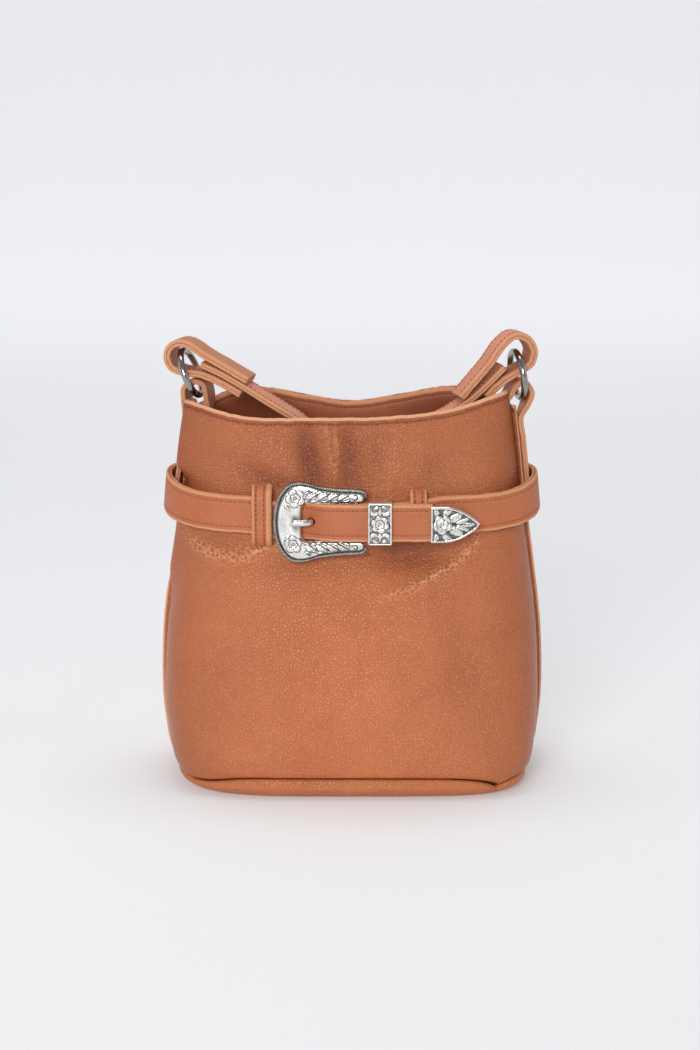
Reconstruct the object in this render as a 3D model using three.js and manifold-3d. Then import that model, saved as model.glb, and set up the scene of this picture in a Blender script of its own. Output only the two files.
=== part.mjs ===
// Small leather bucket sling bag, cinched by a belt with a three-piece metal buckle set.
// Millimetres, +Z up, front of the bag towards -Y, origin at the centre of the flat base.
import * as THREE from 'three';
import { mergeVertices } from 'three/addons/utils/BufferGeometryUtils.js';
import Module from 'manifold-3d';

const wasm = await Module();
wasm.setup();

// ---------------------------------------------------------------- driving dimensions

const LEATHER = 2.0;          // one layer of the body leather
const GAP = 0.3;              // clearance between neighbouring pieces
const SEAM_HEIGHT = 10;       // height of the seam between the base and the panels
const SEAM_FIN = 2.5;         // raw edges of the side seams stand out this far
const FACING_DROP = 24;       // depth of the facing sewn inside the rim
const FACING_THICK = 1.5;

// Half width and half depth of the bag, and the squareness of its outline, against height.
const HALF_WIDTH = profile([[0, 88], [4, 94], [12, 98.5], [30, 102], [75, 103], [125, 97.5],
  [160, 92.5], [190, 89.3], [225, 84.5]]);
const HALF_DEPTH = profile([[0, 54], [4, 58], [12, 60.5], [40, 60], [80, 54], [112, 45],
  [132, 40.2], [150, 39.2], [165, 38.6], [190, 34.5], [225, 29]]);
const SQUARENESS = profile([[0, 4.2], [40, 3.8], [100, 3.0], [150, 2.7], [225, 2.4]]);

// Height of the rim along the width: it dips in the middle and under the hanger tabs.
const FRONT_RIM = profile([[-90, 206.5], [-82, 207.5], [-60, 204.8], [-20, 204.6], [20, 205.2],
  [55, 208.8], [72, 211.5], [83, 206.8], [90, 205.5]]);
const BACK_RIM = profile([[-90, 206.5], [-83, 207.5], [-70, 212.6], [-50, 213.2], [-27, 209], [0, 204.8],
  [27, 208.6], [55, 213.8], [71, 213.8], [83, 206.8], [90, 205.5]]);

const BELT_WIDTH = 20;
const BELT_SIDE_HEIGHT = 162; // height of the belt's centre line at the sides
const BELT_DIP = 8.5;         // the belt hangs this much lower at the front
const BELT_FLARE = 0.09;      // the belt's lower edge leans out
const BELT_HALF_WIDTH = 99.8; // inner face of the belt
const BELT_HALF_DEPTH = 40.4;
const BELT_SQUARENESS = 2.75;
const OUTER_THICK = 1.6;
const LINING_THICK = 1.4;
const MIDDLE = 1.6;           // the joint of the two layers, from the belt's inner face

const BUCKLE_HEIGHT = 153.5;  // height of the buckle's centre line
const PIN_X = 3.0;
const PIN_Y = -44.8;
const PIN_RADIUS = 1.1;
const PIN_HALF_LENGTH = 15.2;
const FRAME_Y = -45.1;
const FRAME_THICK = 4.0;
const PRONG_WIDTH = 2.4;
const PRONG_THICK = 1.8;
const KEEPER_LEFT = 8.3;
const KEEPER_WIDTH = 13.0;
const TIP_LEFT = 41.5;
const TIP_RIGHT = 68;

const STRAP_WIDTH = 18;
const TAB_WIDTH = 16.6;
const STRAP_THICK = 3.6;      // two layers of leather
const RING_RADIUS = 12.7;     // to the centre of the wire
const WIRE_RADIUS = 1.9;
const STRAP_YAW = 12 * Math.PI / 180; // the straps turn towards the front as they enter the mouth

const TAN = 0xbe7150;
const SUEDE = 0xd79a74;
const SILVER = 0xb9b6ae;

// ---------------------------------------------------------------- helpers

// A smooth function through [input, value] pairs.
function profile(pairs) {
  const inputs = pairs.map((pair) => pair[0]);
  const values = pairs.map((pair) => pair[1]);
  const curve = new THREE.CubicInterpolant(inputs, values, 1);
  return (x) => curve.evaluate(THREE.MathUtils.clamp(x, inputs[0], inputs.at(-1)))[0];
}

function solidFrom(geometry) {
  const plain = geometry.clone();
  plain.deleteAttribute('normal');
  plain.deleteAttribute('uv');
  const merged = mergeVertices(plain, 1e-4);
  return new wasm.Manifold(new wasm.Mesh({
    numProp: 3,
    vertProperties: new Float32Array(merged.attributes.position.array),
    triVerts: new Uint32Array(merged.index.array),
  }));
}

function geometryFrom(solid) {
  const mesh = solid.getMesh();
  const geometry = new THREE.BufferGeometry();
  geometry.setAttribute('position', new THREE.BufferAttribute(mesh.vertProperties, 3));
  geometry.setIndex(new THREE.BufferAttribute(mesh.triVerts, 1));
  return geometry;
}

function boxSolid(low, high) {
  const size = high.map((value, i) => value - low[i]);
  const box = new THREE.BoxGeometry(...size);
  box.translate(...low.map((value, i) => value + size[i] / 2));
  return solidFrom(box);
}

// A cylinder standing along Z.
function rodSolid(x, y, z, radius, halfLength, sides = 20) {
  const rod = new THREE.CylinderGeometry(radius, radius, 2 * halfLength, sides);
  rod.rotateX(Math.PI / 2);
  rod.translate(x, y, z);
  return solidFrom(rod);
}

// A closed solid from rings of points that all have the same count: each ring joins the next,
// and the first and last are capped from their centres.
function loft(rings) {
  const count = rings[0].length;
  const points = rings.flat();
  const index = [];
  const wall = (a, b, c, d) => index.push(a, b, c, a, c, d);
  for (let r = 0; r + 1 < rings.length; r += 1) {
    for (let i = 0; i < count; i += 1) {
      const next = (i + 1) % count;
      wall(r * count + i, r * count + next, (r + 1) * count + next, (r + 1) * count + i);
    }
  }
  const cap = (ring, start, flip) => {
    const centre = ring.reduce((sum, p) => sum.add(p), new THREE.Vector3()).divideScalar(count);
    points.push(centre);
    for (let i = 0; i < count; i += 1) {
      const a = start + i;
      const b = start + (i + 1) % count;
      index.push(points.length - 1, flip ? b : a, flip ? a : b);
    }
  };
  cap(rings[0], 0, true);
  cap(rings.at(-1), (rings.length - 1) * count, false);
  const geometry = new THREE.BufferGeometry();
  geometry.setAttribute('position', new THREE.Float32BufferAttribute(points.flatMap((p) => p.toArray()), 3));
  geometry.setIndex(index);
  return geometry;
}

// A flat strip bent along a path: its width lies along `across`, and its two faces lie at
// distances `low` and `high` to the right of the path.
function ribbon(path, across, width, low, high) {
  const rings = path.map((point, i) => {
    const ahead = path[Math.min(i + 1, path.length - 1)];
    const behind = path[Math.max(i - 1, 0)];
    const along = ahead.clone().sub(behind).normalize();
    const side = (typeof across === 'function' ? across(point, i) : across).clone();
    side.addScaledVector(along, -side.dot(along)).normalize();
    const out = along.clone().cross(side);
    const corner = (s, distance) => point.clone().addScaledVector(side, s * width / 2)
      .addScaledVector(out, distance);
    return [corner(-1, low), corner(1, low), corner(1, high), corner(-1, high)];
  });
  return loft(rings);
}

function smooth(points, count) {
  return new THREE.CatmullRomCurve3(points, false, 'centripetal').getSpacedPoints(count);
}

function named(name, geometry, color, roughness, metalness = 0) {
  const material = new THREE.MeshStandardMaterial({ color, roughness, metalness });
  const mesh = new THREE.Mesh(geometry, material);
  mesh.name = name;
  return mesh;
}

const leather = (name, geometry) => named(name, geometry, TAN, 0.6);
const metal = (name, geometry) => named(name, geometry, SILVER, 0.3, 1);

// ---------------------------------------------------------------- body

// A point on the bag's outline at a height, moved inwards by `inset`.
function outlinePoint(angle, height, inset) {
  const power = 2 / SQUARENESS(height);
  const c = Math.cos(angle);
  const s = Math.sin(angle);
  const x = Math.sign(c) * Math.abs(c) ** power * (HALF_WIDTH(height) - inset);
  const y = Math.sign(s) * Math.abs(s) ** power * (HALF_DEPTH(height) - inset);
  return new THREE.Vector3(x, y, height);
}

// A solid that fills the bag between two height functions of x.
function bodySolid(inset, bottom, top, levels = 14) {
  const sides = 48;
  const rings = [];
  for (let level = 0; level <= levels; level += 1) {
    const ring = [];
    for (let i = 0; i < sides; i += 1) {
      const angle = 2 * Math.PI * (i + 0.5) / sides;
      const x = Math.cos(angle) * HALF_WIDTH(200);
      const height = THREE.MathUtils.lerp(bottom(x), top(x), (level / levels) ** 1.15);
      ring.push(outlinePoint(angle, height, inset));
    }
    rings.push(ring);
  }
  return solidFrom(loft(rings));
}

// The raw edge of a panel that stands out along the side seam.
function seamFin(side, front, rim) {
  const fin = new THREE.Shape();
  const heights = [];
  for (let step = 0; step <= 12; step += 1) {
    heights.push(THREE.MathUtils.lerp(SEAM_HEIGHT + 2, rim(side * 90) - 0.5, step / 12));
  }
  const outer = heights.map((z) => new THREE.Vector2(side * (HALF_WIDTH(z) + SEAM_FIN), z));
  const inner = heights.map((z) => new THREE.Vector2(side * (HALF_WIDTH(z) - 1.6), z)).reverse();
  fin.setFromPoints([...outer, ...inner]);
  const plate = new THREE.ExtrudeGeometry(fin, { depth: LEATHER - 0.15, bevelEnabled: false });
  plate.rotateX(Math.PI / 2);
  plate.translate(0, front ? -0.15 : LEATHER, 0);
  return solidFrom(plate);
}

// All that lies in front of the side seams, or behind them.
function halfSpace(front) {
  const far = 150;
  const near = GAP / 2;
  const depths = front ? [-far, -near] : [near, far];
  return boxSolid([-far, depths[0], 0], [far, depths[1], 2 * far]);
}

function panel(front) {
  const rim = front ? FRONT_RIM : BACK_RIM;
  const shell = bodySolid(0, () => SEAM_HEIGHT + GAP, rim)
    .subtract(bodySolid(LEATHER, () => SEAM_HEIGHT - 5, (x) => rim(x) + 8))
    .intersect(halfSpace(front));
  return geometryFrom(shell.add(seamFin(-1, front, rim)).add(seamFin(1, front, rim)));
}

function facing(front) {
  const rim = front ? FRONT_RIM : BACK_RIM;
  const band = bodySolid(LEATHER + GAP, (x) => rim(x) - FACING_DROP, (x) => rim(x) - 0.2, 3)
    .subtract(bodySolid(LEATHER + GAP + FACING_THICK, (x) => rim(x) - 60, (x) => rim(x) + 8, 5));
  return geometryFrom(band.intersect(halfSpace(front)));
}

function basePanel() {
  const tray = bodySolid(0, () => 0, () => SEAM_HEIGHT, 5);
  return geometryFrom(tray.subtract(bodySolid(LEATHER, () => LEATHER, () => SEAM_HEIGHT + 8, 5)));
}

function baseStiffener() {
  const inset = LEATHER + 2.5;
  return geometryFrom(bodySolid(inset, () => LEATHER + GAP, () => LEATHER + GAP + 1.5, 1));
}

// ---------------------------------------------------------------- belt

// Distance of the belt's inner face in front of the bag's middle plane.
function beltFace(x, offset = 0) {
  const share = Math.min(Math.abs(x) / (BELT_HALF_WIDTH + offset), 1);
  return (BELT_HALF_DEPTH + offset) * (1 - share ** BELT_SQUARENESS) ** (1 / BELT_SQUARENESS);
}

// Height of the belt's centre line: it dips over the front of the bag.
function beltHeight(y) {
  return BELT_SIDE_HEIGHT - BELT_DIP * THREE.MathUtils.smoothstep(-y, 0, BELT_HALF_DEPTH);
}

// The stretch of the belt from the right of the buckle, round the back, to the left of it.
function beltRound(offset) {
  const points = [];
  const steps = 64;
  const start = -Math.acos(0.52);
  const end = Math.PI * 2 + start - 2 * (start + Math.PI / 2);
  for (let i = 0; i <= steps; i += 1) {
    const angle = THREE.MathUtils.lerp(start, end, i / steps);
    const c = Math.cos(angle);
    const s = Math.sin(angle);
    const power = 2 / BELT_SQUARENESS;
    points.push(new THREE.Vector3(
      Math.sign(c) * Math.abs(c) ** power * (BELT_HALF_WIDTH + offset),
      Math.sign(s) * Math.abs(s) ** power * (BELT_HALF_DEPTH + offset),
      0,
    ));
  }
  return points;
}

// A point in front of the belt's inner face.
function frontPoint(x, distance) {
  return new THREE.Vector3(x, -beltFace(x) - distance, 0);
}

// The belt's middle, between its two layers, in plan: from the right of the buckle, round the
// bag, under the frame's bow, up over the crossbar and on to the tip.
const TAIL = [[-40, MIDDLE], [-33, MIDDLE], [-27, MIDDLE], [-22.5, 2.4], [-19, 4.2], [-14, 6.9],
  [-8, 8.7], [0, 9.2], [8, 9.3], [20, 9.1], [31, 9.1], [42, 9.5], [50.5, 9.9]];
const BELT_MIDDLE = smooth([frontPoint(31, MIDDLE), frontPoint(42, MIDDLE), ...beltRound(MIDDLE),
  ...TAIL.map(([x, distance]) => frontPoint(x, distance))], 180);

// A layer between two distances outwards from a path drawn in plan.
function beltLayer(plan, low, high) {
  const path = plan.map((p) => new THREE.Vector3(p.x, p.y, beltHeight(p.y)));
  const lean = (p) => {
    const away = new THREE.Vector2(p.x, p.y * 2).normalize();
    const share = BELT_FLARE * (p.y < 0 ? THREE.MathUtils.smoothstep(Math.abs(p.x), 55, 90) : 1);
    return new THREE.Vector3(-away.x * share, -away.y * share, 1);
  };
  return solidFrom(ribbon(path, lean, BELT_WIDTH, low, high)).subtract(prongHole());
}

// The outer layer also makes the fold round the buckle's crossbar.
function beltOuter() {
  const turn = 1.35;
  const back = -PIN_Y - turn - BELT_HALF_DEPTH;
  const fold = [frontPoint(27, back), frontPoint(16, back), frontPoint(8, back)];
  for (let i = 0; i <= 8; i += 1) {
    const angle = Math.PI / 2 + Math.PI * i / 8;
    fold.push(new THREE.Vector3(PIN_X + turn * Math.cos(angle), PIN_Y + turn * Math.sin(angle), 0));
  }
  fold.push(frontPoint(8, 4.5), frontPoint(14, 3.3), frontPoint(24, 3.1));
  const plan = [...smooth([...fold, BELT_MIDDLE[0]], 44).slice(0, -1), ...BELT_MIDDLE];
  return geometryFrom(beltLayer(plan, GAP / 2, GAP / 2 + OUTER_THICK).subtract(prongSlot()));
}

function beltLining() {
  return geometryFrom(beltLayer(BELT_MIDDLE, -GAP / 2 - LINING_THICK, -GAP / 2));
}

// The hole in the free end that the prong comes up through.
function prongHole() {
  const half = PRONG_WIDTH / 2 + 0.8;
  return boxSolid([-22.5, -70, BUCKLE_HEIGHT - half], [-8, -35, BUCKLE_HEIGHT + half]);
}

// The slot in the fold that lets the prong's eye sit on the crossbar.
function prongSlot() {
  const half = PRONG_WIDTH / 2 + 0.6;
  return boxSolid([PIN_X - 4.5, -48.4, BUCKLE_HEIGHT - half], [PIN_X + 4.5, -41.2, BUCKLE_HEIGHT + half]);
}

// ---------------------------------------------------------------- buckle set

// The frame is a C: a broad bow on the left and two arms that carry the crossbar.
function buckleFrame() {
  const lean = 0.8 * Math.PI / 180;
  const upper = [[7.6, 14], [6.2, 16], [2, 17], [-8, 17.5], [-18.5, 18.9], [-28, 20.9], [-33.5, 19.8],
    [-38, 15], [-40.8, 7.5], [-41.5, 0]];
  const inner = [[-27, 0], [-27, 8.6], [-25.2, 10.4], [3.4, 10.4], [5.6, 12]];
  const mirrored = (list) => list.filter(([, z]) => z > 0).map(([x, z]) => [x, -z]);
  const outline = [...upper, ...mirrored(upper).reverse(), ...mirrored(inner).reverse(), ...inner];
  const shape = new THREE.Shape(outline.map(([x, z]) => new THREE.Vector2(x, z)));
  const plate = new THREE.ExtrudeGeometry(shape, {
    depth: FRAME_THICK - 1.6, bevelThickness: 0.8, bevelSize: 0.8, bevelOffset: -0.8, bevelSegments: 2,
  });
  plate.rotateX(Math.PI / 2);
  plate.translate(-PIN_X, FRAME_Y - PIN_Y + FRAME_THICK / 2 - 0.8, BUCKLE_HEIGHT);
  plate.rotateZ(lean);
  plate.translate(PIN_X, PIN_Y, 0);
  const bore = rodSolid(PIN_X, PIN_Y, BUCKLE_HEIGHT, PIN_RADIUS + 0.25, PIN_HALF_LENGTH + 0.3);
  return geometryFrom(solidFrom(plate).subtract(bore));
}

function buckleCrossbar() {
  return geometryFrom(rodSolid(PIN_X, PIN_Y, BUCKLE_HEIGHT, PIN_RADIUS, PIN_HALF_LENGTH));
}

function buckleProng() {
  const route = [[PIN_X - 1, PIN_Y - 0.2], [-6, -45.2], [-13, -45.6], [-18.5, -46.8], [-23.5, -48.5],
    [-28, -49.0], [-34, -49.0]];
  const path = smooth(route.map(([x, y]) => new THREE.Vector3(x, y, BUCKLE_HEIGHT)), 24);
  const half = PRONG_THICK / 2;
  const blade = solidFrom(ribbon(path, new THREE.Vector3(0, 0, 1), PRONG_WIDTH, -half, half));
  const eye = rodSolid(PIN_X, PIN_Y, BUCKLE_HEIGHT, 2.5, PRONG_WIDTH / 2);
  const bore = rodSolid(PIN_X, PIN_Y, BUCKLE_HEIGHT, PIN_RADIUS + 0.25, 5);
  return geometryFrom(blade.add(eye).subtract(bore));
}

// A flat metal band round the belt's folded end and the free end that lies over it.
function keeper() {
  const right = KEEPER_LEFT + KEEPER_WIDTH;
  const outer = boxSolid([KEEPER_LEFT, -54.0, BUCKLE_HEIGHT - 11.7], [right, -40.4, BUCKLE_HEIGHT + 11.7]);
  const inner = boxSolid([0, -52.2, BUCKLE_HEIGHT - 10.5], [40, -41.2, BUCKLE_HEIGHT + 10.5]);
  return geometryFrom(outer.subtract(inner));
}

// A pointed metal cap over the free end, built flat and then turned to follow the strap.
function beltTip() {
  const length = TIP_RIGHT - TIP_LEFT;
  const shape = new THREE.Shape();
  const half = 11;
  shape.moveTo(0, -half);
  shape.lineTo(length * 0.34, -half);
  shape.quadraticCurveTo(length * 0.72, -half * 0.78, length, 0);
  shape.quadraticCurveTo(length * 0.72, half * 0.78, length * 0.34, half);
  shape.lineTo(0, half);
  const cap = new THREE.ExtrudeGeometry(shape, { depth: 6, bevelEnabled: false, curveSegments: 8 });
  cap.rotateX(Math.PI / 2);
  cap.translate(0, 3, 0);
  const pocket = boxSolid([-5, -2.1, -10.3], [length * 0.37, 2.1, 10.3]);
  const tip = geometryFrom(solidFrom(cap).subtract(pocket));
  const start = frontPoint(TIP_LEFT, 9.5);
  const end = frontPoint(50.5, 9.9);
  tip.rotateZ(Math.atan2(end.y - start.y, end.x - start.x));
  tip.translate(start.x, start.y, BUCKLE_HEIGHT);
  return tip;
}

// A leather loop sewn to the front panel that holds the belt.
function beltLoop(x, width, tilt) {
  const half = 1.3;
  const centre = beltHeight(-BELT_HALF_DEPTH);
  const front = beltFace(x) + 5.3;
  const wall = (z, stand) => [outlineDepth(x, z) + stand, z];
  const upper = [wall(centre + 14.8, 1.0), wall(centre + 14.2, 2.8), [front - 1.2, centre + 12.2],
    [front, centre + 9]];
  const lower = [[front, centre - 9], [front - 1.2, centre - 12.2], wall(centre - 14.2, 3.2),
    wall(centre - 14.8, 1.6)];
  const route = [...upper, [front + 0.1, centre], ...lower];
  const path = smooth(route.map(([y, z]) => new THREE.Vector3(x, -y, z)), 30);
  const across = new THREE.Vector3(Math.cos(tilt), Math.sin(tilt), 0);
  return ribbon(path, across, width, -half, half);
}

// Distance of the bag's outer face from its middle plane, at x on the front or the back.
function outlineDepth(x, height) {
  const power = SQUARENESS(height);
  const share = Math.abs(x) / HALF_WIDTH(height);
  return HALF_DEPTH(height) * (1 - share ** power) ** (1 / power);
}

// ---------------------------------------------------------------- hangers, rings and shoulder strap

// Each side has its ring's centre, how far the ring leans, and the routes of its leather,
// all drawn in the side's own upright plane with x measured outwards from the bag's middle.
const SIDES = {
  left: {
    sign: -1,
    ring: [88, 225],
    lean: 21 * Math.PI / 180,
    chape: [[54.5, 222.6], [67, 229.5], [79, 236.0], [86.5, 240.8], [92, 242.1], [97.2, 239.9],
      [99.4, 234.2], [97, 228.6], [91, 226.2], [80, 225.0], [68, 220.2], [58.5, 215.0]],
    strap: [[80, 230.5], [67.5, 224.9], [56, 218.6], [46, 212.6], [36, 206.8], [28, 202]],
    fold: [[90.6, 211], [90.3, 217.2], [86.4, 221.2], [80.4, 219.8], [78.4, 213]],
  },
  right: {
    sign: 1,
    ring: [90.6, 224],
    lean: -8 * Math.PI / 180,
    chape: [[57.2, 213.2], [66, 222.3], [75, 231.2], [81.5, 239.0], [87.4, 242.6], [93.6, 240.8],
      [96.6, 235.2], [94.8, 229.4], [89.2, 226.2], [83, 221.6], [77, 216.6], [72.5, 212.2]],
    strap: [[81, 229.0], [75.5, 223.6], [68.5, 216.9], [61, 210.8], [53, 205.6], [45, 201]],
    fold: [[95.4, 209], [96.8, 215], [92.5, 220.6], [87.9, 217.9], [84.8, 212.6], [79.2, 207.4]],
  },
};

// Turns a point of a side's own plane into the bag's frame: the plane swings about the ring.
function place(side, [x, z], y = 0, yaw = STRAP_YAW) {
  const inward = side.ring[0] - x;
  const across = Math.cos(yaw) * inward - Math.sin(-yaw) * y;
  const depth = Math.sin(-yaw) * inward + Math.cos(yaw) * y;
  return new THREE.Vector3(side.sign * (side.ring[0] - across), depth, z);
}

function widthWay(side, yaw = STRAP_YAW) {
  return new THREE.Vector3(-side.sign * Math.sin(yaw), Math.cos(yaw), 0);
}

function ringGeometry(side) {
  const torus = new THREE.TorusGeometry(RING_RADIUS, WIRE_RADIUS, 10, 36);
  torus.rotateY(Math.PI / 2);
  torus.rotateY(side.sign * side.lean);
  torus.rotateZ(side.sign * STRAP_YAW);
  torus.translate(side.sign * side.ring[0], 0, side.ring[1]);
  return torus;
}

function chapeGeometry(side) {
  const path = smooth(side.chape.map((point) => place(side, point)), 44);
  return ribbon(path, widthWay(side), STRAP_WIDTH, -STRAP_THICK / 2, STRAP_THICK / 2);
}

// The hanger tab: up the outside of the side seam from under the belt, over the ring's wire
// and down inside the mouth. It turns with the ring above the rim.
function tabGeometry(side) {
  const half = 1.5;
  const outside = (z) => [HALF_WIDTH(z) + SEAM_FIN + 0.6 + half, z];
  const inside = (z) => [HALF_WIDTH(z) - LEATHER - FACING_THICK - GAP - 4.3 - half, z];
  const route = [outside(155), outside(165), outside(178), outside(190), outside(201),
    ...side.fold, inside(200), inside(192), inside(182)];
  const path = smooth(route.map(([x, z]) => new THREE.Vector3(side.sign * x, 0, z)), 48);
  const across = (point) => widthWay(side, STRAP_YAW * THREE.MathUtils.smoothstep(point.z, 200, 213));
  return ribbon(path, across, TAB_WIDTH, -half, half);
}

// How the strap's width turns: it lies along the ring up at the mouth and level across the
// bag further down.
function strapAcross(point) {
  const side = point.x < 0 ? SIDES.left : SIDES.right;
  return widthWay(side, STRAP_YAW * THREE.MathUtils.smoothstep(point.z, 150, 200));
}

// The strap's stretch that is sewn between the chape's legs and bends with them.
function strapEnd(side) {
  const path = smooth(side.strap.map((point) => place(side, point)), 20);
  return ribbon(path, strapAcross, STRAP_WIDTH, -STRAP_THICK / 2, STRAP_THICK / 2);
}

// The rest of the strap: down from the left of the mouth, folded to and fro on the floor of
// the bag, and up to the right of the mouth.
const STRAP_RUN = [[-19, -14, 191], [-12, -13, 165], [-9, -8, 110], [-14, -4, 40], [-30, -2, 19],
  [-55, 0, 13], [-76, 0, 14], [-86, 0, 21], [-76, 0, 28], [-50, 0, 28.5], [0, 0, 28],
  [50, 0, 28.5], [76, 0, 29.5], [86, 0, 37], [76, 0, 44.5], [56, 0, 46], [36, -4, 54],
  [24, -8, 90], [22, -13, 150], [28, -14, 180]];

function shoulderStrap() {
  const [left, right] = [SIDES.left, SIDES.right].map((side) => place(side, side.strap.at(-1)));
  const points = [left, ...STRAP_RUN.map((p) => new THREE.Vector3(...p)), right];
  const path = smooth(points, 150).slice(1, -1);
  return ribbon(path, strapAcross, STRAP_WIDTH, -STRAP_THICK / 2, STRAP_THICK / 2);
}

// ---------------------------------------------------------------- assembly

const bag = new THREE.Group();
bag.add(leather('front_panel', panel(true)));
bag.add(leather('back_panel', panel(false)));
bag.add(leather('base_panel', basePanel()));
bag.add(leather('front_rim_facing', facing(true)));
bag.add(leather('back_rim_facing', facing(false)));
bag.add(named('base_stiffener', baseStiffener(), SUEDE, 0.9));
bag.add(leather('belt_outer', beltOuter()));
bag.add(leather('belt_lining', beltLining()));
bag.add(leather('left_belt_loop', beltLoop(-48.2, 10, -0.17)));
bag.add(leather('right_belt_loop', beltLoop(35.5, 9, 0.1)));
bag.add(metal('buckle_frame', buckleFrame()));
bag.add(metal('buckle_crossbar', buckleCrossbar()));
bag.add(metal('buckle_prong', buckleProng()));
bag.add(metal('belt_keeper', keeper()));
bag.add(metal('belt_tip', beltTip()));
bag.add(leather('shoulder_strap', shoulderStrap()));
for (const [name, side] of Object.entries(SIDES)) {
  bag.add(leather(`${name}_hanger_tab`, tabGeometry(side)));
  bag.add(metal(`${name}_ring`, ringGeometry(side)));
  bag.add(leather(`${name}_strap_chape`, chapeGeometry(side)));
  bag.add(leather(`${name}_strap_end`, strapEnd(side)));
}

export default bag;
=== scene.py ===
"""A small tan leather bucket sling bag, cinched by a belt with an engraved three-piece buckle set.

Shapes are worked out in millimetres in the frame's axes and turned into metres when a mesh is made.
"""

import math

import bmesh
import bpy
import numpy as np
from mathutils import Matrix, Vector


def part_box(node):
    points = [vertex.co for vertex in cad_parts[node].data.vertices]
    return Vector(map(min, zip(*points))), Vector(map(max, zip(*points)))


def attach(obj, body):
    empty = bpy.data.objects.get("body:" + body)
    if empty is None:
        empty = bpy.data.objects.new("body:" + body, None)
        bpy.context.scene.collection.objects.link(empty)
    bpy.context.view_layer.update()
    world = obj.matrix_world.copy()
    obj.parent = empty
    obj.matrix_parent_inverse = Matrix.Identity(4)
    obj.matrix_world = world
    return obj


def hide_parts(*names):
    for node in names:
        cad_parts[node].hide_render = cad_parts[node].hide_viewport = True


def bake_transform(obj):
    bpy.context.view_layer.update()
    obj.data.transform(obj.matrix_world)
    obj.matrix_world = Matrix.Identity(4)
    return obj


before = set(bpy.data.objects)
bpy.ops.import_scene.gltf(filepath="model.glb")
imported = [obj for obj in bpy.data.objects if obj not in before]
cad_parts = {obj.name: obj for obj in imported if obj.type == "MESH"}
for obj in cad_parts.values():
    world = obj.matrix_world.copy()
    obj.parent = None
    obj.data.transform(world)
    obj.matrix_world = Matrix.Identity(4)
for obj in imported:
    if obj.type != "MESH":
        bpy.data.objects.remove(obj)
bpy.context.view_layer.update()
MM = 0.001
random = np.random.default_rng(11)

# ------------------------------------------------------------------ driving dimensions (mm)

LEATHER = 2.0
FACING = 1.5
FACING_DROP = 24
SEAM_FIN = 2.5
HALF_WIDTH_PAIRS = [[0, 88], [4, 94], [12, 98.5], [30, 102], [75, 103], [125, 97.5],
                    [160, 92.5], [190, 89.3], [225, 84.5]]
HALF_DEPTH_PAIRS = [[0, 54], [4, 58], [12, 60.5], [40, 60], [80, 54], [112, 45],
                    [132, 40.2], [150, 39.2], [165, 38.6], [190, 34.5], [225, 29]]
SQUARENESS_PAIRS = [[0, 4.2], [40, 3.8], [100, 3.0], [150, 2.7], [225, 2.4]]
FRONT_RIM_PAIRS = [[-90, 209.2], [-87.5, 211], [-84, 211.2], [-79, 209.2], [-70, 206.4], [-60, 204.8],
                   [-20, 204.6], [20, 205.2], [55, 209], [72, 213], [80, 215.2], [84.4, 216.2], [86, 216],
                   [87.4, 209], [90, 206.5]]
BACK_RIM_PAIRS = [[-90, 206.5], [-83, 207.5], [-70, 212.6], [-50, 213.2], [-27, 209], [0, 204.8],
                  [27, 208.6], [55, 213.8], [71, 213.8], [83, 206.8], [90, 205.5]]

BELT_WIDTH = 20
BELT_SIDE_HEIGHT = 162
BELT_DIP = 8.5
BELT_LEVEL = 157              # about the middle of the heights it covers
BELT_FLARE = 0.09
BELT_HALF_WIDTH = 99.8
BELT_HALF_DEPTH = 40.4
BELT_SQUARENESS = 2.75
BELT_MIDDLE = 1.6
TAIL = [[-40, 1.6], [-33, 1.6], [-27, 1.6], [-22.5, 2.4], [-19, 4.2], [-14, 6.9], [-8, 8.7],
        [0, 9.2], [8, 9.3], [20, 9.1], [31, 9.1], [42.6, 9.5]]

BUCKLE_SAG = 2.6              # the buckle and the belt's tail hang this far below the belt's line
BUCKLE_Z = 153.5 - BUCKLE_SAG
PIN = (3.0, -44.8)
STRAP_WIDTH = 18
TAB_WIDTH = 16.6
STRAP_THICK = 3.6
RING_RADIUS = 12.7
WIRE_RADIUS = 1.9
STRAP_YAW = math.radians(12)

# ------------------------------------------------------------------ curves


def profile(pairs):
    """A smooth function through (input, value) pairs, held level past its ends."""
    inputs, values = np.array(pairs, float).T
    slopes = np.gradient(values, inputs)

    def at(x):
        x = np.clip(x, inputs[0], inputs[-1])
        i = np.clip(np.searchsorted(inputs, x, side="right") - 1, 0, len(inputs) - 2)
        step = inputs[i + 1] - inputs[i]
        t = (x - inputs[i]) / step
        rise = (3 - 2 * t) * t * t
        start = t * (1 - t) ** 2 * step * slopes[i]
        end = t * t * (1 - t) * step * slopes[i + 1]
        return values[i] * (1 - rise) + values[i + 1] * rise + start - end

    return at


def smoothstep(x, low=0.0, high=1.0):
    t = np.clip((x - low) / (high - low), 0, 1)
    return t * t * (3 - 2 * t)


def hump(x, middle, spread):
    """A bell of height 1."""
    return np.exp(-((x - middle) / spread) ** 2)


def distances(curve, power=1.0):
    """How far along a polyline each of its points is, with every step raised to a power."""
    steps = np.linalg.norm(np.diff(curve, axis=0), axis=1) ** power
    return np.concatenate([[0], np.cumsum(steps)])


def full_turn(count):
    """Even angles round a circle."""
    return np.linspace(0, 2 * math.pi, count, endpoint=False)


def turned(x, y, angle):
    """Coordinates turned by an angle."""
    return x * math.cos(angle) - y * math.sin(angle), x * math.sin(angle) + y * math.cos(angle)


def resample(curve, count):
    """Points at even distances along a polyline."""
    length = distances(curve)
    places = np.linspace(0, length[-1], count)
    return np.column_stack([np.interp(places, length, curve[:, k]) for k in range(curve.shape[1])])


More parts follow.
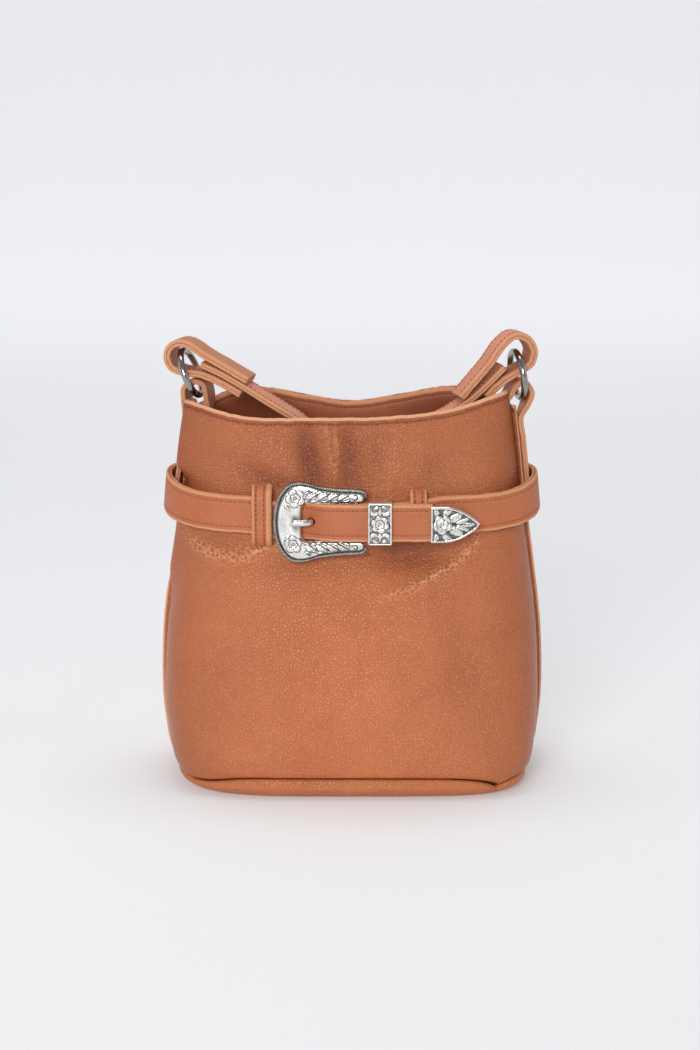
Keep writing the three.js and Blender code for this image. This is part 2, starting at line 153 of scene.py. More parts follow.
def smooth(points, count):
    """A smooth curve through points, with `count` points at even distances."""
    points = np.array(points, float)
    knots = distances(points, 0.5)
    fine = np.linspace(0, knots[-1], 30 * len(points))
    axes = [profile(np.column_stack([knots, axis]))(fine) for axis in points.T]
    return resample(np.column_stack(axes), count)


def wander(count, wave, size):
    """A smooth random line: `count` values that change over about `wave` steps."""
    knots = max(int(count / wave) + 3, 4)
    values = random.normal(0, size, knots)
    return profile(np.column_stack([np.linspace(0, count, knots), values]))(np.arange(count))


def unit(vectors):
    return vectors / np.maximum(np.linalg.norm(vectors, axis=-1, keepdims=True), 1e-9)


def squared_oval(c, s, power, half_width, half_depth):
    """Points of an oval with squared corners, for cosines and sines of the angle."""
    return np.column_stack([np.sign(c) * np.abs(c) ** power * half_width,
                            np.sign(s) * np.abs(s) ** power * half_depth])


HALF_WIDTH = profile(HALF_WIDTH_PAIRS)
HALF_DEPTH = profile(HALF_DEPTH_PAIRS)
SQUARENESS = profile(SQUARENESS_PAIRS)
FRONT_RIM = profile(FRONT_RIM_PAIRS)
BACK_RIM = profile(BACK_RIM_PAIRS)

# ------------------------------------------------------------------ meshes


def make_mesh(name, points, faces, body, nodes=(), slot=None, material=None, **layers):
    """A smooth closed mesh that rides on a body; each layer is a value for every point."""
    mesh = bpy.data.meshes.new(name)
    mesh.from_pydata((np.asarray(points, float) * MM).tolist(), [], faces)
    for layer, values in layers.items():
        attribute = mesh.attributes.new(layer, "FLOAT", "POINT")
        attribute.data.foreach_set("value", np.asarray(values, np.float32))
    tidy = bmesh.new()
    tidy.from_mesh(mesh)
    bmesh.ops.recalc_face_normals(tidy, faces=tidy.faces)
    tidy.to_mesh(mesh)
    tidy.free()
    mesh.polygons.foreach_set("use_smooth", [True] * len(mesh.polygons))
    piece = bpy.data.objects.new(name, mesh)
    bpy.context.scene.collection.objects.link(piece)
    if material:
        mesh.materials.append(material)
    if body:
        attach(piece, body)
    if nodes:
        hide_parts(*nodes)
    return piece


def loft_faces(rings, count, closed=False, capped=True):
    """Quads between rings of `count` points, and a cap on each end unless the rings close."""
    faces = []
    last = rings if closed else rings - 1
    for ring in range(last):
        a = ring * count
        b = (ring + 1) % rings * count
        faces += [(a + i, a + (i + 1) % count, b + (i + 1) % count, b + i) for i in range(count)]
    if capped and not closed:
        faces.append(tuple(range(count)))
        faces.append(tuple(range((rings - 1) * count, rings * count)))
    return faces


def frame_along(path, across):
    """Width and thickness directions at each point of a path."""
    along = unit(np.gradient(path, axis=0))
    side = np.broadcast_to(np.asarray(across, float), path.shape)
    side = unit(side - along * np.sum(side * along, axis=1, keepdims=True))
    return along, side, np.cross(along, side)


STITCH_PITCH = 2.6
STITCH_RADIUS = 0.25
# An edge's shape, as (share of the bevel, share of half the thickness) from its face outwards.
EDGE_ROUND = [(1, 0.93), (0.55, 0.78), (0.18, 0.52), (0, 0.22)]
EDGE_JOINED = [(0.3, 0.99), (0.16, 0.96), (0.05, 0.85), (0, 0.45)]


def band_section(width, low, high, grooves, joined=0):
    """The outline of a leather strip's cross-section: (across, through, raw) for each point.

    `joined` is 1 or -1 where the upper or lower face lies on another layer and keeps a sharp edge.
    """
    middle = (low + high) / 2
    half = (high - low) / 2
    edge = width / 2
    bevel = min(1.3, width * 0.13)
    inner = np.linspace(-(edge - bevel - 0.25), edge - bevel - 0.25, 11).tolist()
    for groove in grooves:
        inner += [groove + step for step in (-0.75, -0.4, 0, 0.4, 0.75)]
    inner = sorted(inner)

    def face(sign, places):
        points = []
        for s in places:
            dip = sum(0.32 * math.exp(-((s - groove) / 0.38) ** 2) for groove in grooves)
            crown = 0.1 * (1 - (s / edge) ** 2)
            points.append((s, middle + sign * (half - 0.1 + crown - dip * (sign > 0)), 0.0))
        return points

    def rim(sign, upper):
        shape = EDGE_JOINED if upper == joined else EDGE_ROUND
        return [(sign * (edge - bevel * step), middle + upper * half * t, 1.0) for step, t in shape]

    right = rim(1, 1) + rim(1, -1)[::-1]
    left = rim(-1, -1) + rim(-1, 1)[::-1]
    return np.array(face(1, inner) + right + face(-1, inner[::-1]) + left)


def band(name, path, across, width, low, high, body, nodes=(), slot="belt_leather",
         material=None, grooves=(), flesh=False, joined=0, bare=None, ragged=0.09):
    """A leather strip along a path, with bevelled raw edges that waver a little.

    `grooves` are the places across the width where a stitch line sinks into the upper face, and
    the upper face is raw beyond `bare`.
    """
    section = band_section(width, low, high, grooves, joined)
    if bare is not None:
        section[(section[:, 0] > bare) & (section[:, 1] > (low + high) / 2), 2] = 1
    along, side, out = frame_along(path, across)
    count = len(path)
    waver = {sign: wander(count, 5, ragged) + wander(count, 1.6, ragged * 0.6) for sign in (-1, 1)}
    shift = np.where(section[:, 0] > 0, 1, -1)[None, :] * section[None, :, 2]
    wave = np.where(section[None, :, 0] > 0, waver[1][:, None], waver[-1][:, None]) * shift
    across_place = section[None, :, 0] + wave
    rings = (path[:, None, :] + side[:, None, :] * across_place[..., None]
             + out[:, None, :] * section[None, :, 1, None])
    raw = np.broadcast_to(section[:, 2], (count, len(section))).copy()
    rings, raw = round_ends(rings, raw, along)
    inside = np.zeros_like(raw)
    if flesh:
        middle = (low + high) / 2
        inside = np.broadcast_to((section[:, 1] < middle) * (section[:, 2] == 0), raw.shape)
    return make_mesh(name, rings.reshape(-1, 3), loft_faces(len(rings), len(section)), body, nodes,
                     slot, material, raw=raw.ravel(), flesh=np.asarray(inside, float).ravel())


def round_ends(rings, raw, along):
    """Adds shrinking rings so that a strip's cut ends are rounded, and marks them as raw."""
    def end(ring, direction):
        centre = ring.mean(axis=0)
        return [centre + (ring - centre) * scale + direction * step
                for scale, step in ((0.99, 0.12), (0.95, 0.3), (0.88, 0.4))]

    first = end(rings[0], -along[0])[::-1]
    last = end(rings[-1], along[-1])
    rings = np.concatenate([first, rings, last])
    cut = np.ones((3, raw.shape[1]))
    return rings, np.concatenate([cut, raw, cut])


def stitches(name, runs, body, blend=None):
    """Thread along stitch lines: one short slanted grain of thread for each stitch.

    Each run is (points, upward directions), with the points on the leather's surface.
    """
    turns = full_turn(8)
    lengths = np.array([-1, -0.86, -0.45, 0, 0.45, 0.86, 1])
    widths = np.array([0.12, 0.62, 0.95, 1, 0.95, 0.62, 0.12])
    points = []
    faces = []
    for line, up in runs:
        amount = max(int(distances(line)[-1] / STITCH_PITCH), 2)
        both = resample(np.hstack([line, up]), amount * 2 + 1)
        spots, ups = both[:, :3], unit(both[:, 3:])
        for k in range(1, 2 * amount, 2):
            along = unit(spots[k + 1] - spots[k - 1])
            side = unit(np.cross(along, ups[k]))
            lean = unit(along + 0.12 * side)
            half = STITCH_PITCH * 0.38
            rise = ups[k] * (0.02 - 0.22 * lengths[:, None] ** 2)
            core = spots[k] + lean * (lengths * half)[:, None] + rise
            ring = (side[None] * np.cos(turns)[:, None] + ups[k][None] * np.sin(turns)[:, None])
            grain = core[:, None, :] + ring[None] * (widths * STITCH_RADIUS)[:, None, None]
            base = len(points) * len(lengths) * len(turns)
            points.append(grain.reshape(-1, 3))
            faces += [tuple(base + i for i in face) for face in loft_faces(len(lengths), len(turns))]
    piece = make_mesh(name, np.concatenate(points), faces, None if blend else body,
                      material=THREAD)
    if blend:
        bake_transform(piece)
    return piece


def band_stitches(path, across, groove, height, skip=1.5):
    """The run of one stitch line on a band's upper face."""
    _, side, out = frame_along(path, across)
    line = path + side * groove + out * (height - 0.12)
    length = distances(line)
    keep = (length > skip) & (length < length[-1] - skip)
    return line[keep], out[keep]

# ------------------------------------------------------------------ materials


def rgb(red, green, blue):
    """A linear colour from a screen colour of 0 to 255."""
    def channel(value):
        value = value / 255
        return value / 12.92 if value <= 0.04045 else ((value + 0.055) / 1.055) ** 2.4
    return (channel(red), channel(green), channel(blue), 1.0)


def toned(colour, share):
    """A colour made darker or lighter by a factor."""
    return tuple(min(channel * share, 1) for channel in colour[:3]) + (1.0,)


class Look:
    """A new material, with short names for the nodes that feed its shader."""

    def __init__(self, name):
        self.material = bpy.data.materials.new(name)
        self.material.use_nodes = True
        self.tree = self.material.node_tree
        self.tree.nodes.clear()
        output = self.tree.nodes.new("ShaderNodeOutputMaterial")
        self.shader = self.tree.nodes.new("ShaderNodeBsdfPrincipled")
        self.tree.links.new(self.shader.outputs[0], output.inputs[0])
        self.place = self.node("TexCoord", {}, output="Object")

    def feed(self, made, inputs):
        """Links each input of a node to a socket, or sets it to a constant."""
        for key, value in inputs.items():
            if isinstance(value, bpy.types.NodeSocket):
                self.tree.links.new(value, made.inputs[key])
            else:
                made.inputs[key].default_value = value

    def node(self, kind, inputs, output=0, **settings):
        """A node with its inputs linked or set; returns one of its outputs."""
        made = self.tree.nodes.new("ShaderNode" + kind)
        for key, value in settings.items():
            setattr(made, key, value)
        self.feed(made, inputs)
        return made.outputs[output]

    def maths(self, operation, a, b):
        return self.node("Math", {0: a, 1: b}, operation=operation)

    def add(self, a, b):
        return self.maths("ADD", a, b)

    def times(self, a, b):
        return self.maths("MULTIPLY", a, b)

    def spread(self, value, low, high, to_low=0.0, to_high=1.0):
        """Maps low..high to to_low..to_high, held at the ends."""
        return self.node("MapRange", {"Value": value, "From Min": low, "From Max": high,
                                      "To Min": to_low, "To Max": to_high})

    def mix(self, share, a, b):
        return self.node("Mix", {0: share, 6: a, 7: b}, output=2, data_type="RGBA")

    def mix_values(self, share, a, b):
        return self.node("Mix", {0: share, 2: a, 3: b}, data_type="FLOAT")

    def noise(self, scale, detail=3.0, roughness=0.5, stretch=None):
        """Noise over the object's own space, which may be stretched along its axes."""
        place = self.place
        if stretch:
            place = self.node("VectorMath", {0: place, 1: stretch}, operation="MULTIPLY")
        return self.node("TexNoise", {"Vector": place, "Scale": scale, "Detail": detail,
                                      "Roughness": roughness})

    def layer(self, name):
        """The value of a mesh's layer."""
        return self.node("Attribute", {}, output="Fac", attribute_name=name)

    def finish(self, colour, roughness, height, strength, distance, metallic=0.0):
        """Feeds the shader, with `height` as a bump, and returns the material."""
        bump = self.node("Bump", {"Height": height, "Strength": strength, "Distance": distance})
        self.feed(self.shader, {"Base Color": colour, "Roughness": roughness, "Normal": bump,
                                "Metallic": metallic})
        return self.material


SPECK = 2.7                   # width of the pale specks on a crease, partly worn grain and partly painted highlight
DEEP_TAN = rgb(104, 40, 16)   # where the leather lies in shade
# The pale specks on crease ridges: partly grain worn pale, partly painted highlight.
WORN_AND_HIGHLIGHT_TAN = rgb(230, 172, 128)


def leather_material(name, light, dark, raw, flesh, roughness, grain, pebble):
    """Pebbled leather whose cut edges are raw and lighter and whose flesh side is suede.

    `grain` is how strong the pebbles' relief is and `pebble` how wide they are, in mm.
    """
    look = Look(name)
    add, times, spread, mix, noise = look.add, look.times, look.spread, look.mix, look.noise
    drift = look.node("TexNoise", {"Vector": look.place, "Scale": 260.0, "Detail": 2.0}, output=1)
    bent = look.node("VectorMath", {0: drift, "Scale": 0.0016}, operation="SCALE")
    bent = look.node("VectorMath", {0: look.place, 1: bent}, operation="ADD")

    def cells(width, randomness, feature="DISTANCE_TO_EDGE", output=0):
        inputs = {"Vector": bent, "Scale": 1 / (width * MM), "Randomness": randomness}
        return look.node("TexVoronoi", inputs, output, feature=feature)

    pebbles = spread(cells(pebble, 0.9), 0.0, 0.24)
    lot = spread(cells(pebble, 0.9, "F1", 1), 0.25, 0.75)
    net = spread(cells(SPECK, 0.8), 0.05, 0.2, 1.0, 0.0)
    broken = spread(noise(420.0, 2.0), 0.32, 0.5)
    patches = noise(55.0, 4.0, 0.6)
    fuzz = noise(1900.0, 5.0, 0.7, (1.0, 1.0, 0.35))
    fuzz_share = spread(fuzz, 0.3, 0.7)
    crease = look.layer("crease")
    # The crease specks: partly worn grain, partly painted highlight on the ridges.
    worn = times(times(crease, net), times(broken, 0.8))
    is_raw = spread(add(look.layer("raw"), times(fuzz, 0.3)), 0.58, 0.72)
    is_flesh = look.layer("flesh")

    tone = add(times(noise(14.0, 3.0, 0.55), 0.4), times(patches, 0.35))
    colour = mix(spread(add(tone, times(lot, 0.06)), 0.26, 0.62), dark, light)
    valley = times(look.maths("SUBTRACT", 1.0, pebbles), 0.24)
    colour = mix(valley, colour, toned(dark, 0.5))
    colour = mix(times(look.layer("shade"), 0.8), colour, DEEP_TAN)
    # Painted highlight and worn grain: the crease specks turn pale.
    colour = mix(worn, colour, mix(0.8, toned(light, 1.5), WORN_AND_HIGHLIGHT_TAN))
    colour = mix(is_raw, colour, mix(fuzz_share, toned(raw, 0.74), raw))
    colour = mix(is_flesh, colour, mix(fuzz_share, toned(flesh, 0.78), flesh))

    matt = look.maths("MAXIMUM", is_raw, is_flesh)
    gloss = spread(patches, 0.3, 0.7, roughness - 0.05, roughness + 0.07)
    gloss = look.maths("SUBTRACT", gloss, times(worn, 0.08))

    height = add(times(pebbles, 0.8), times(noise(4200.0, 2.0), 0.3))
    height = times(height, add(grain, times(crease, grain * 0.8)))
    height = add(height, times(worn, 1.6))
    height = add(height, times(noise(240.0, 3.0, 0.55), grain * 1.1))
    height = look.mix_values(matt, height, times(fuzz, 3.2))
    look.feed(look.shader, {"Specular IOR Level": 0.38})
    return look.finish(colour, look.mix_values(matt, gloss, 0.9), height, 1.0, 0.0001)


def silver_material():
    """Bright worn silver with dark oxide in its recesses and painted shade on the pieces' sides and hidden
    faces (layer `dark`).
    """
    look = Look("antique_silver")
    dark = look.layer("dark")
    stain = look.noise(700.0, 5.0, 0.65)
    scuffs = look.noise(900.0, 4.0, 0.7, (1.0, 1.0, 6.0))
    soot = look.spread(look.add(dark, look.times(stain, 0.35)), 0.42, 0.95)
    tint = look.mix(look.spread(stain, 0.35, 0.7), rgb(244, 243, 240), rgb(214, 212, 207))
    colour = look.mix(soot, tint, rgb(38, 35, 34))
    polish = look.spread(scuffs, 0.3, 0.7, 0.16, 0.34)
    height = look.add(scuffs, look.times(stain, look.times(dark, 2.0)))
    metallic = look.spread(soot, 0.0, 1.0, 1.0, 0.55)
    return look.finish(colour, look.mix_values(soot, polish, 0.62), height, 0.25, 0.00005, metallic)


def nickel_material():
    """Polished nickel with fine hairlines."""
    look = Look("polished_nickel")
    hairs = look.noise(2600.0, 3.0, 0.6, (0.3, 1.0, 3.0))
    colour = look.mix(look.noise(160.0, 4.0, 0.6), rgb(178, 176, 173), rgb(132, 130, 127))
    polish = look.spread(hairs, 0.3, 0.7, 0.1, 0.22)
    return look.finish(colour, polish, hairs, 0.15, 0.00003, 1.0)


def thread_material():
    """Dark tan waxed thread with a fine twist."""
    look = Look("waxed_thread")
    twist = look.noise(3800.0, 2.0)
    colour = look.mix(look.spread(twist, 0.3, 0.7), rgb(92, 40, 22), rgb(126, 62, 36))
    return look.finish(colour, look.spread(twist, 0.3, 0.7, 0.5, 0.7), twist, 0.6, 0.0001)


def board_material():
    """Pressed fibre board."""
    look = Look("fibre_board")
    flecks = look.noise(900.0, 6.0, 0.75)
    colour = look.mix(look.spread(flecks, 0.35, 0.65), rgb(120, 88, 62), rgb(158, 122, 90))
    return look.finish(colour, look.spread(flecks, 0.3, 0.7, 0.8, 0.95), flecks, 0.5, 0.0003)


RAW = rgb(220, 156, 117)
# Suede for flesh sides, made darker than its own colour as painted shade, for faces that lie inside the bag
# and behind the belt.
SUEDE_WITH_PAINTED_SHADE = rgb(136, 78, 48)
BODY = leather_material("body_leather", rgb(206, 124, 77), rgb(191, 108, 64), rgb(232, 172, 136), SUEDE_WITH_PAINTED_SHADE,
                        0.34, 3.0, 1.9)
BELT = leather_material("belt_leather", rgb(193, 114, 75), rgb(179, 100, 61), rgb(220, 154, 112), SUEDE_WITH_PAINTED_SHADE,
                        0.42, 1.1, 1.3)
STRAP = leather_material("strap_leather", rgb(222, 146, 108), rgb(200, 120, 84), RAW, rgb(200, 136, 102),
                         0.48, 0.9, 1.3)
FACING_LEATHER = leather_material("facing_leather", rgb(190, 112, 74), rgb(166, 92, 56), RAW,
                                  rgb(150, 88, 58), 0.55, 0.7, 1.2)
SILVER = silver_material()
NICKEL = nickel_material()
THREAD = thread_material()
BOARD = board_material()

# ------------------------------------------------------------------ body

CORNER_LEFT = -0.35           # the front's left lower corner is rounder than the right
CORNER_RIGHT = 0.7
PANEL_COLUMNS = 210
FIN_POINTS = 4
FILLET_POINTS = 6
FILLET = 1.0
LEFT_SWELL = 7.0


def corner_extra(c, height):
    """What the lower front corners add to the outline's squareness, for cosines of the angle."""
    low = 1 - smoothstep(height, 5, 75)
    return np.where(c > 0, CORNER_RIGHT, CORNER_LEFT) * smoothstep(np.abs(c), 0, 0.5) * low


def outline(height, count):
    """The front half of the bag's outline at a height, from the left seam to the right seam."""
    angles = np.linspace(math.pi, 2 * math.pi, count)
    c, s = np.cos(angles), np.sin(angles)
    power = 2 / (SQUARENESS(height) + corner_extra(c, height))
    return squared_oval(c, s, power, HALF_WIDTH(height), HALF_DEPTH(height))


def seamed_outline(height):
    """The same outline, turned outwards at both ends into the raw side seams."""
    plan = outline(height, 1601)
    near = -LEATHER + 0.15 - FILLET
    plan = plan[plan[:, 1] < near - 0.02]
    half = HALF_WIDTH(height)
    plan = resample(np.vstack([[-half, near], plan, [half, near]]), PANEL_COLUMNS)
    turn = np.linspace(0, math.pi / 2, FILLET_POINTS + 2)[1:]
    fillet = np.column_stack([half + FILLET - FILLET * np.cos(turn), near + FILLET * np.sin(turn)])
    reach = np.linspace(half + FILLET, half + SEAM_FIN, FIN_POINTS + 1)[1:]
    fin = np.column_stack([reach, np.full(FIN_POINTS, near + FILLET)])
    right = np.vstack([fillet, fin])
    left = right[::-1] * [-1, 1]
    return np.vstack([left, plan, right])


TABLE_HEIGHTS = np.concatenate([np.arange(0, 16, 1.5), np.arange(16, 228, 5)])
OUTLINES = np.array([seamed_outline(height) for height in TABLE_HEIGHTS])
COLUMNS = OUTLINES.shape[1]


def plan_at(heights):
    """The outline's points for a grid of heights, one column of the grid for each point."""
    index = np.clip(np.searchsorted(TABLE_HEIGHTS, heights) - 1, 0, len(TABLE_HEIGHTS) - 2)
    share = (heights - TABLE_HEIGHTS[index]) / (TABLE_HEIGHTS[index + 1] - TABLE_HEIGHTS[index])
    column = np.broadcast_to(np.arange(COLUMNS), heights.shape)
    share = share[..., None]
    return OUTLINES[index, column] * (1 - share) + OUTLINES[index + 1, column] * share


def seam_height(x, y):
    """The seam over the base: it dips to the front corners, sharply at the right one."""
    front = smoothstep(-y, 15, 45)
    dips = 4.5 * hump(x, -88, 20) + 6.4 * np.exp(-np.abs(x - 82) / 11)
    return 10 + front * (1.2 - dips)


def grid_normals(grid):
    rows = np.gradient(grid, axis=0)
    columns = np.gradient(grid, axis=1)
    return unit(np.cross(columns, rows))


def segment_distance(x, z, points):
    """Distance to a polyline, and how far along it the nearest place is, from 0 to 1."""
    best = np.full(np.shape(x), 1e9)
    place = np.zeros(np.shape(x))
    total = len(points) - 1
    for k in range(total):
        (x0, z0), (x1, z1) = points[k], points[k + 1]
        dx, dz = x1 - x0, z1 - z0
        t = np.clip(((x - x0) * dx + (z - z0) * dz) / (dx * dx + dz * dz), 0, 1)
        away = np.hypot(x - x0 - t * dx, z - z0 - t * dz)
        place = np.where(away < best, (k + t) / total, place)
        best = np.minimum(best, away)
    return best, place


def fading(place, margin, power):
    """1 in the middle of a line, and less towards both its ends; `place` goes from 0 to 1."""
    return np.sin(np.pi * np.clip(place, margin, 1 - margin)) ** power


def crease_line(x, z, points, spread_size):
    """A bell across a curved line that fades at both its ends."""
    away, place = segment_distance(x, z, smooth(points, 24))
    return hump(away, 0, spread_size) * fading(place, 0.03, 0.5)


LEFT_CREASE = [[-93, 141], [-85, 135], [-77, 131.5], [-67, 130], [-55, 132.5], [-44, 137.5], [-32, 143]]
RIGHT_CREASE = [[70, 148], [67, 138], [59, 128.5], [46, 121.5], [28, 113], [12, 109]]
VALLEYS = [([[-26, 202], [-24, 189], [-21.5, 177], [-20, 163]], 6.6, 3.4),
           ([[-3.5, 202], [-2, 187], [-1, 174], [0, 163]], 5.8, 2.6),
           ([[14, 198], [11, 184], [10, 167]], 8.0, 1.4),
           ([[-64, 180], [-52, 174], [-40, 170], [-28, 167]], 6.5, 2.2),
           ([[46, 186], [44, 176], [45, 166]], 8.0, 1.2)]
FOLD_LEFT = [[-14.5, 203], [-13.5, 196], [-12.5, 188], [-10.5, 179], [-9, 172]]
FOLD_RIGHT = [[-9.5, 203], [-8.5, 196], [-7.5, 187], [-8, 178], [-9, 170]]


def front_shape(x, z):
    """How far the front panel stands out from its plain shape, and how creased and shaded it is."""
    folds = crease_line(x, z, FOLD_LEFT, 1.2) + crease_line(x, z, FOLD_RIGHT, 1.3)
    gathers = sum(depth * crease_line(x, z, line, size) for line, size, depth in VALLEYS)
    left = crease_line(x, z, LEFT_CREASE, 3.2)
    right = crease_line(x, z, RIGHT_CREASE, 3.0)
    under = 6.0 * hump(x, 30, 26) * hump(z, 133, 10) + 2.2 * hump(x, -64, 22) * hump(z, 139, 7)
    under += 2.2 * hump(x, -22, 20) * hump(z, 130, 9)
    bulge = 2.6 * hump(x, -62, 26) * hump(z, 116, 11) + 2.4 * hump(x, 52, 24) * hump(z, 104, 12)
    bulge += 2.0 * hump(x, 0, 30) * hump(z, 98, 16)
    slack = 1.3 * np.sin(x / 21 + 1.2) * np.sin(z / 33 + 0.6) * smoothstep(z, 15, 60)
    long_dent = 3.2 * hump(x - (110 - z) * 0.3, 50, 13) * hump(z, 62, 36)
    long_dent += 1.6 * hump(x + (100 - z) * 0.3, -56, 12) * hump(z, 62, 30)
    bulge += 2.9 * hump(x, 80.8, 7) * smoothstep(z, 194, 212)
    out = 0.9 * folds - gathers + 1.2 * left + 1.7 * right - under + bulge + slack - long_dent
    out = np.where(out > 0, out * belt_clearance(z), out)
    crease = np.clip(crease_line(x, z, LEFT_CREASE, 3.6) + crease_line(x, z, RIGHT_CREASE, 2.8)
                     + 0.32 * folds + 0.12 * hump(x, -3, 40) * hump(z, 186, 20), 0, 1)
    shade = 0.2 * gathers + 0.13 * under + 0.07 * long_dent + 0.1 * smoothstep(np.abs(x), 12, 48)
    shade += 0.27 * smoothstep(np.abs(x), 60, 100) + 0.17 * hump(x, -8, 30) * smoothstep(z, 160, 174)
    shade += 0.22 * smoothstep(z, 160, 186) - 0.1 * folds + 0.2 * hump(z, 166, 6)
    return out, crease, np.clip(shade, 0, 1)


def back_shape(x, z):
    """The same for the back panel, whose folds are guessed."""
    slack = 1.1 * np.sin(x / 24 + 0.4) * np.sin(z / 30 + 1.9) * smoothstep(z, 15, 60)
    gathers = 1.6 * hump(x, 14, 9) * hump(z, 182, 15) + 1.3 * hump(x, -30, 8) * hump(z, 180, 14)
    under = 1.6 * hump(x, 0, 45) * hump(z, 138, 9)
    creases = crease_line(x, z, [[-70, 138], [-45, 131], [-15, 128], [20, 130], [50, 137]], 3.2)
    out = slack - gathers - under - 1.2 * creases
    out = np.where(out > 0, out * belt_clearance(z), out)
    shade = 0.15 * gathers + 0.15 * under + 0.22 * smoothstep(np.abs(x), 70, 100)
    return out, np.clip(0.6 * creases, 0, 1), np.clip(shade, 0, 1)


def corner_swell(grid, front):
    """The front's left corner swells out past its side seam, which is narrow from half-way up."""
    x, y, z = grid[..., 0], grid[..., 1], grid[..., 2]
    left = x < 0
    reach = np.maximum(-x - HALF_WIDTH(z) - FILLET, 0)
    moved = grid.copy()
    moved[..., 0] += 0.75 * reach * left * smoothstep(z, 100, 118)
    if front:
        below = 0.42 * smoothstep(z, 102, 120) * (1 - smoothstep(z, 146, 152))
        share = (below + smoothstep(z, 166, 178)) * left
        moved[..., 0] -= share * LEFT_SWELL * hump(y, -11, 6.5)
    return moved


def belt_clearance(z):
    """0 behind the belt, where the panel may not stand out, and 1 away from it."""
    return smoothstep(np.abs(z - BELT_LEVEL), 15, 27)


LIP_POINTS = 4
PANEL_LIP = [(0.72, 0.28), (0.28, 0.42), (-0.28, 0.42), (-0.72, 0.28)]
FACING_LIP = [(0.7, 0.25), (0.25, 0.38), (-0.25, 0.38), (-0.7, 0.25)]
SEAM_LEVEL = 10.0             # about where the seam over the base runs
RIM_LEVEL = 205.0             # about where the rim is
STITCH_GAP = 3.3              # from the rim down to its row of stitches


def sheet_rings(outer, inner, lip):
    """Rings across a sheet, one for each column: up its outer face, over the lip, down its inner face."""
    crest, half = (outer[-1] + inner[-1]) / 2, (outer[-1] - inner[-1]) / 2
    edge = [crest + half * side + np.array([0, 0, rise]) for side, rise in lip]
    return np.concatenate([outer, edge, inner[::-1]]).swapaxes(0, 1)


def sheet_layer(shape, outer=0.0, lip=0.0, inner=0.0):
    """A layer's values for sheet_rings: the outer face upwards, the lip, the inner face downwards."""
    rows, columns = shape
    parts = [(outer, rows), (lip, LIP_POINTS), (inner, rows)]
    return np.concatenate([np.broadcast_to(value, (count, columns)) for value, count in parts]).T


def ladder(base, count):
    """Quads that close a thin ring across its thickness."""
    return [(base + i, base + i + 1, base + count - 2 - i, base + count - 1 - i)
            for i in range(count // 2 - 1)]


def sheet(name, rings, nodes, slot, material, **layers):
    """A closed sheet of leather on the bag's body, from rings across it."""
    count = rings.shape[1]
    faces = loft_faces(len(rings), count, capped=False)
    for ring in (0, len(rings) - 1):
        faces += ladder(ring * count, count)
    make_mesh(name, rings.reshape(-1, 3), faces, "bag", nodes, slot, material,
              **{layer: values.ravel() for layer, values in layers.items()})


def side_edge(ring, direction):
    """Rings that round off a panel's cut side."""
    middle = (ring + ring[::-1]) / 2
    return np.array([middle + (ring - middle) * scale + direction * step
                     for scale, step in ((0.9, 0.25), (0.62, 0.48), (0.2, 0.58))])


def row_places(height):
    """The outline's points at one height, one for each column."""
    return plan_at(np.full((1, COLUMNS), height))[0]


def panel(name, front, rim, nodes, shape):
    """One body panel: its grain face, its flesh face and the bevelled raw edge between them.

    Returns the run of its row of stitches under the rim.
    """
    steps = np.concatenate([np.linspace(0, 0.03, 8), np.linspace(0.037, 0.955, 128),
                            np.linspace(0.958, 1, 24)])
    seam = row_places(SEAM_LEVEL)
    turn = 1 if front else -1
    bottom = seam_height(seam[:, 0], turn * seam[:, 1]) + 0.3
    ragged = wander(COLUMNS, 4, 0.1) + wander(COLUMNS, 1.5, 0.07)
    top = rim(row_places(RIM_LEVEL)[:, 0]) + ragged
    heights = bottom + (top - bottom) * steps[:, None]
    grid = corner_swell(np.dstack([plan_at(heights), heights]), front)
    normals = grid_normals(grid)

    out, crease, shade = shape(grid[..., 0], grid[..., 2])
    fade = smoothstep(-grid[..., 1], 4, 14)
    rim_gap = top - heights
    seam_gap = heights - bottom
    out = out * fade + 0.9 * (1 - smoothstep(rim_gap, 0, 7)) * fade
    out = out - 0.34 * hump(rim_gap, STITCH_GAP, 0.5)
    out = out - 2.0 * (1 - np.sqrt(1 - (1 - np.clip(seam_gap / 4.2, 0, 1)) ** 2 * 0.999))
    outer = grid + normals * out[..., None]
    outer = outer - normals * (0.75 * smoothstep(-rim_gap, -1.3, 0))[..., None]
    inner = grid + normals * (out - LEATHER + 0.15)[..., None]

    cut_side = np.isin(np.arange(COLUMNS), (0, 1, COLUMNS - 2, COLUMNS - 1))
    shade = np.clip(shade + 0.42 * hump(rim_gap, 3.0, 1.1), 0, 1)
    layers = {"raw": (np.maximum(smoothstep(-rim_gap, -1.5, -1.0), cut_side), 1.0, 0.0, 1.0),
              "flesh": (0.0, 0.0, 1.0, 0.0), "crease": (crease, 0.0, 0.0, 0.0),
              "shade": (shade, 0.0, 0.0, 0.0)}
    values = {}
    for layer, (*faces, side) in layers.items():
        pad = np.full((3, 2 * len(steps) + LIP_POINTS), side)
        values[layer] = np.concatenate([pad, sheet_layer(heights.shape, *faces), pad])
    rings = sheet_rings(outer, inner, PANEL_LIP)
    start, finish = unit(rings[0] - rings[1]), unit(rings[-1] - rings[-2])
    rings = np.concatenate([side_edge(rings[0], start)[::-1], rings, side_edge(rings[-1], finish)])
    mirror = np.array([1, turn, 1])
    sheet(name, rings * mirror, nodes, "body_leather", BODY, **values)
    sewn = np.arange(FIN_POINTS + 2, COLUMNS - FIN_POINTS - 2)
    rows = np.argmin(np.abs(rim_gap[:, sewn] - STITCH_GAP), axis=0)
    return outer[rows, sewn] * mirror, normals[-8, sewn] * mirror


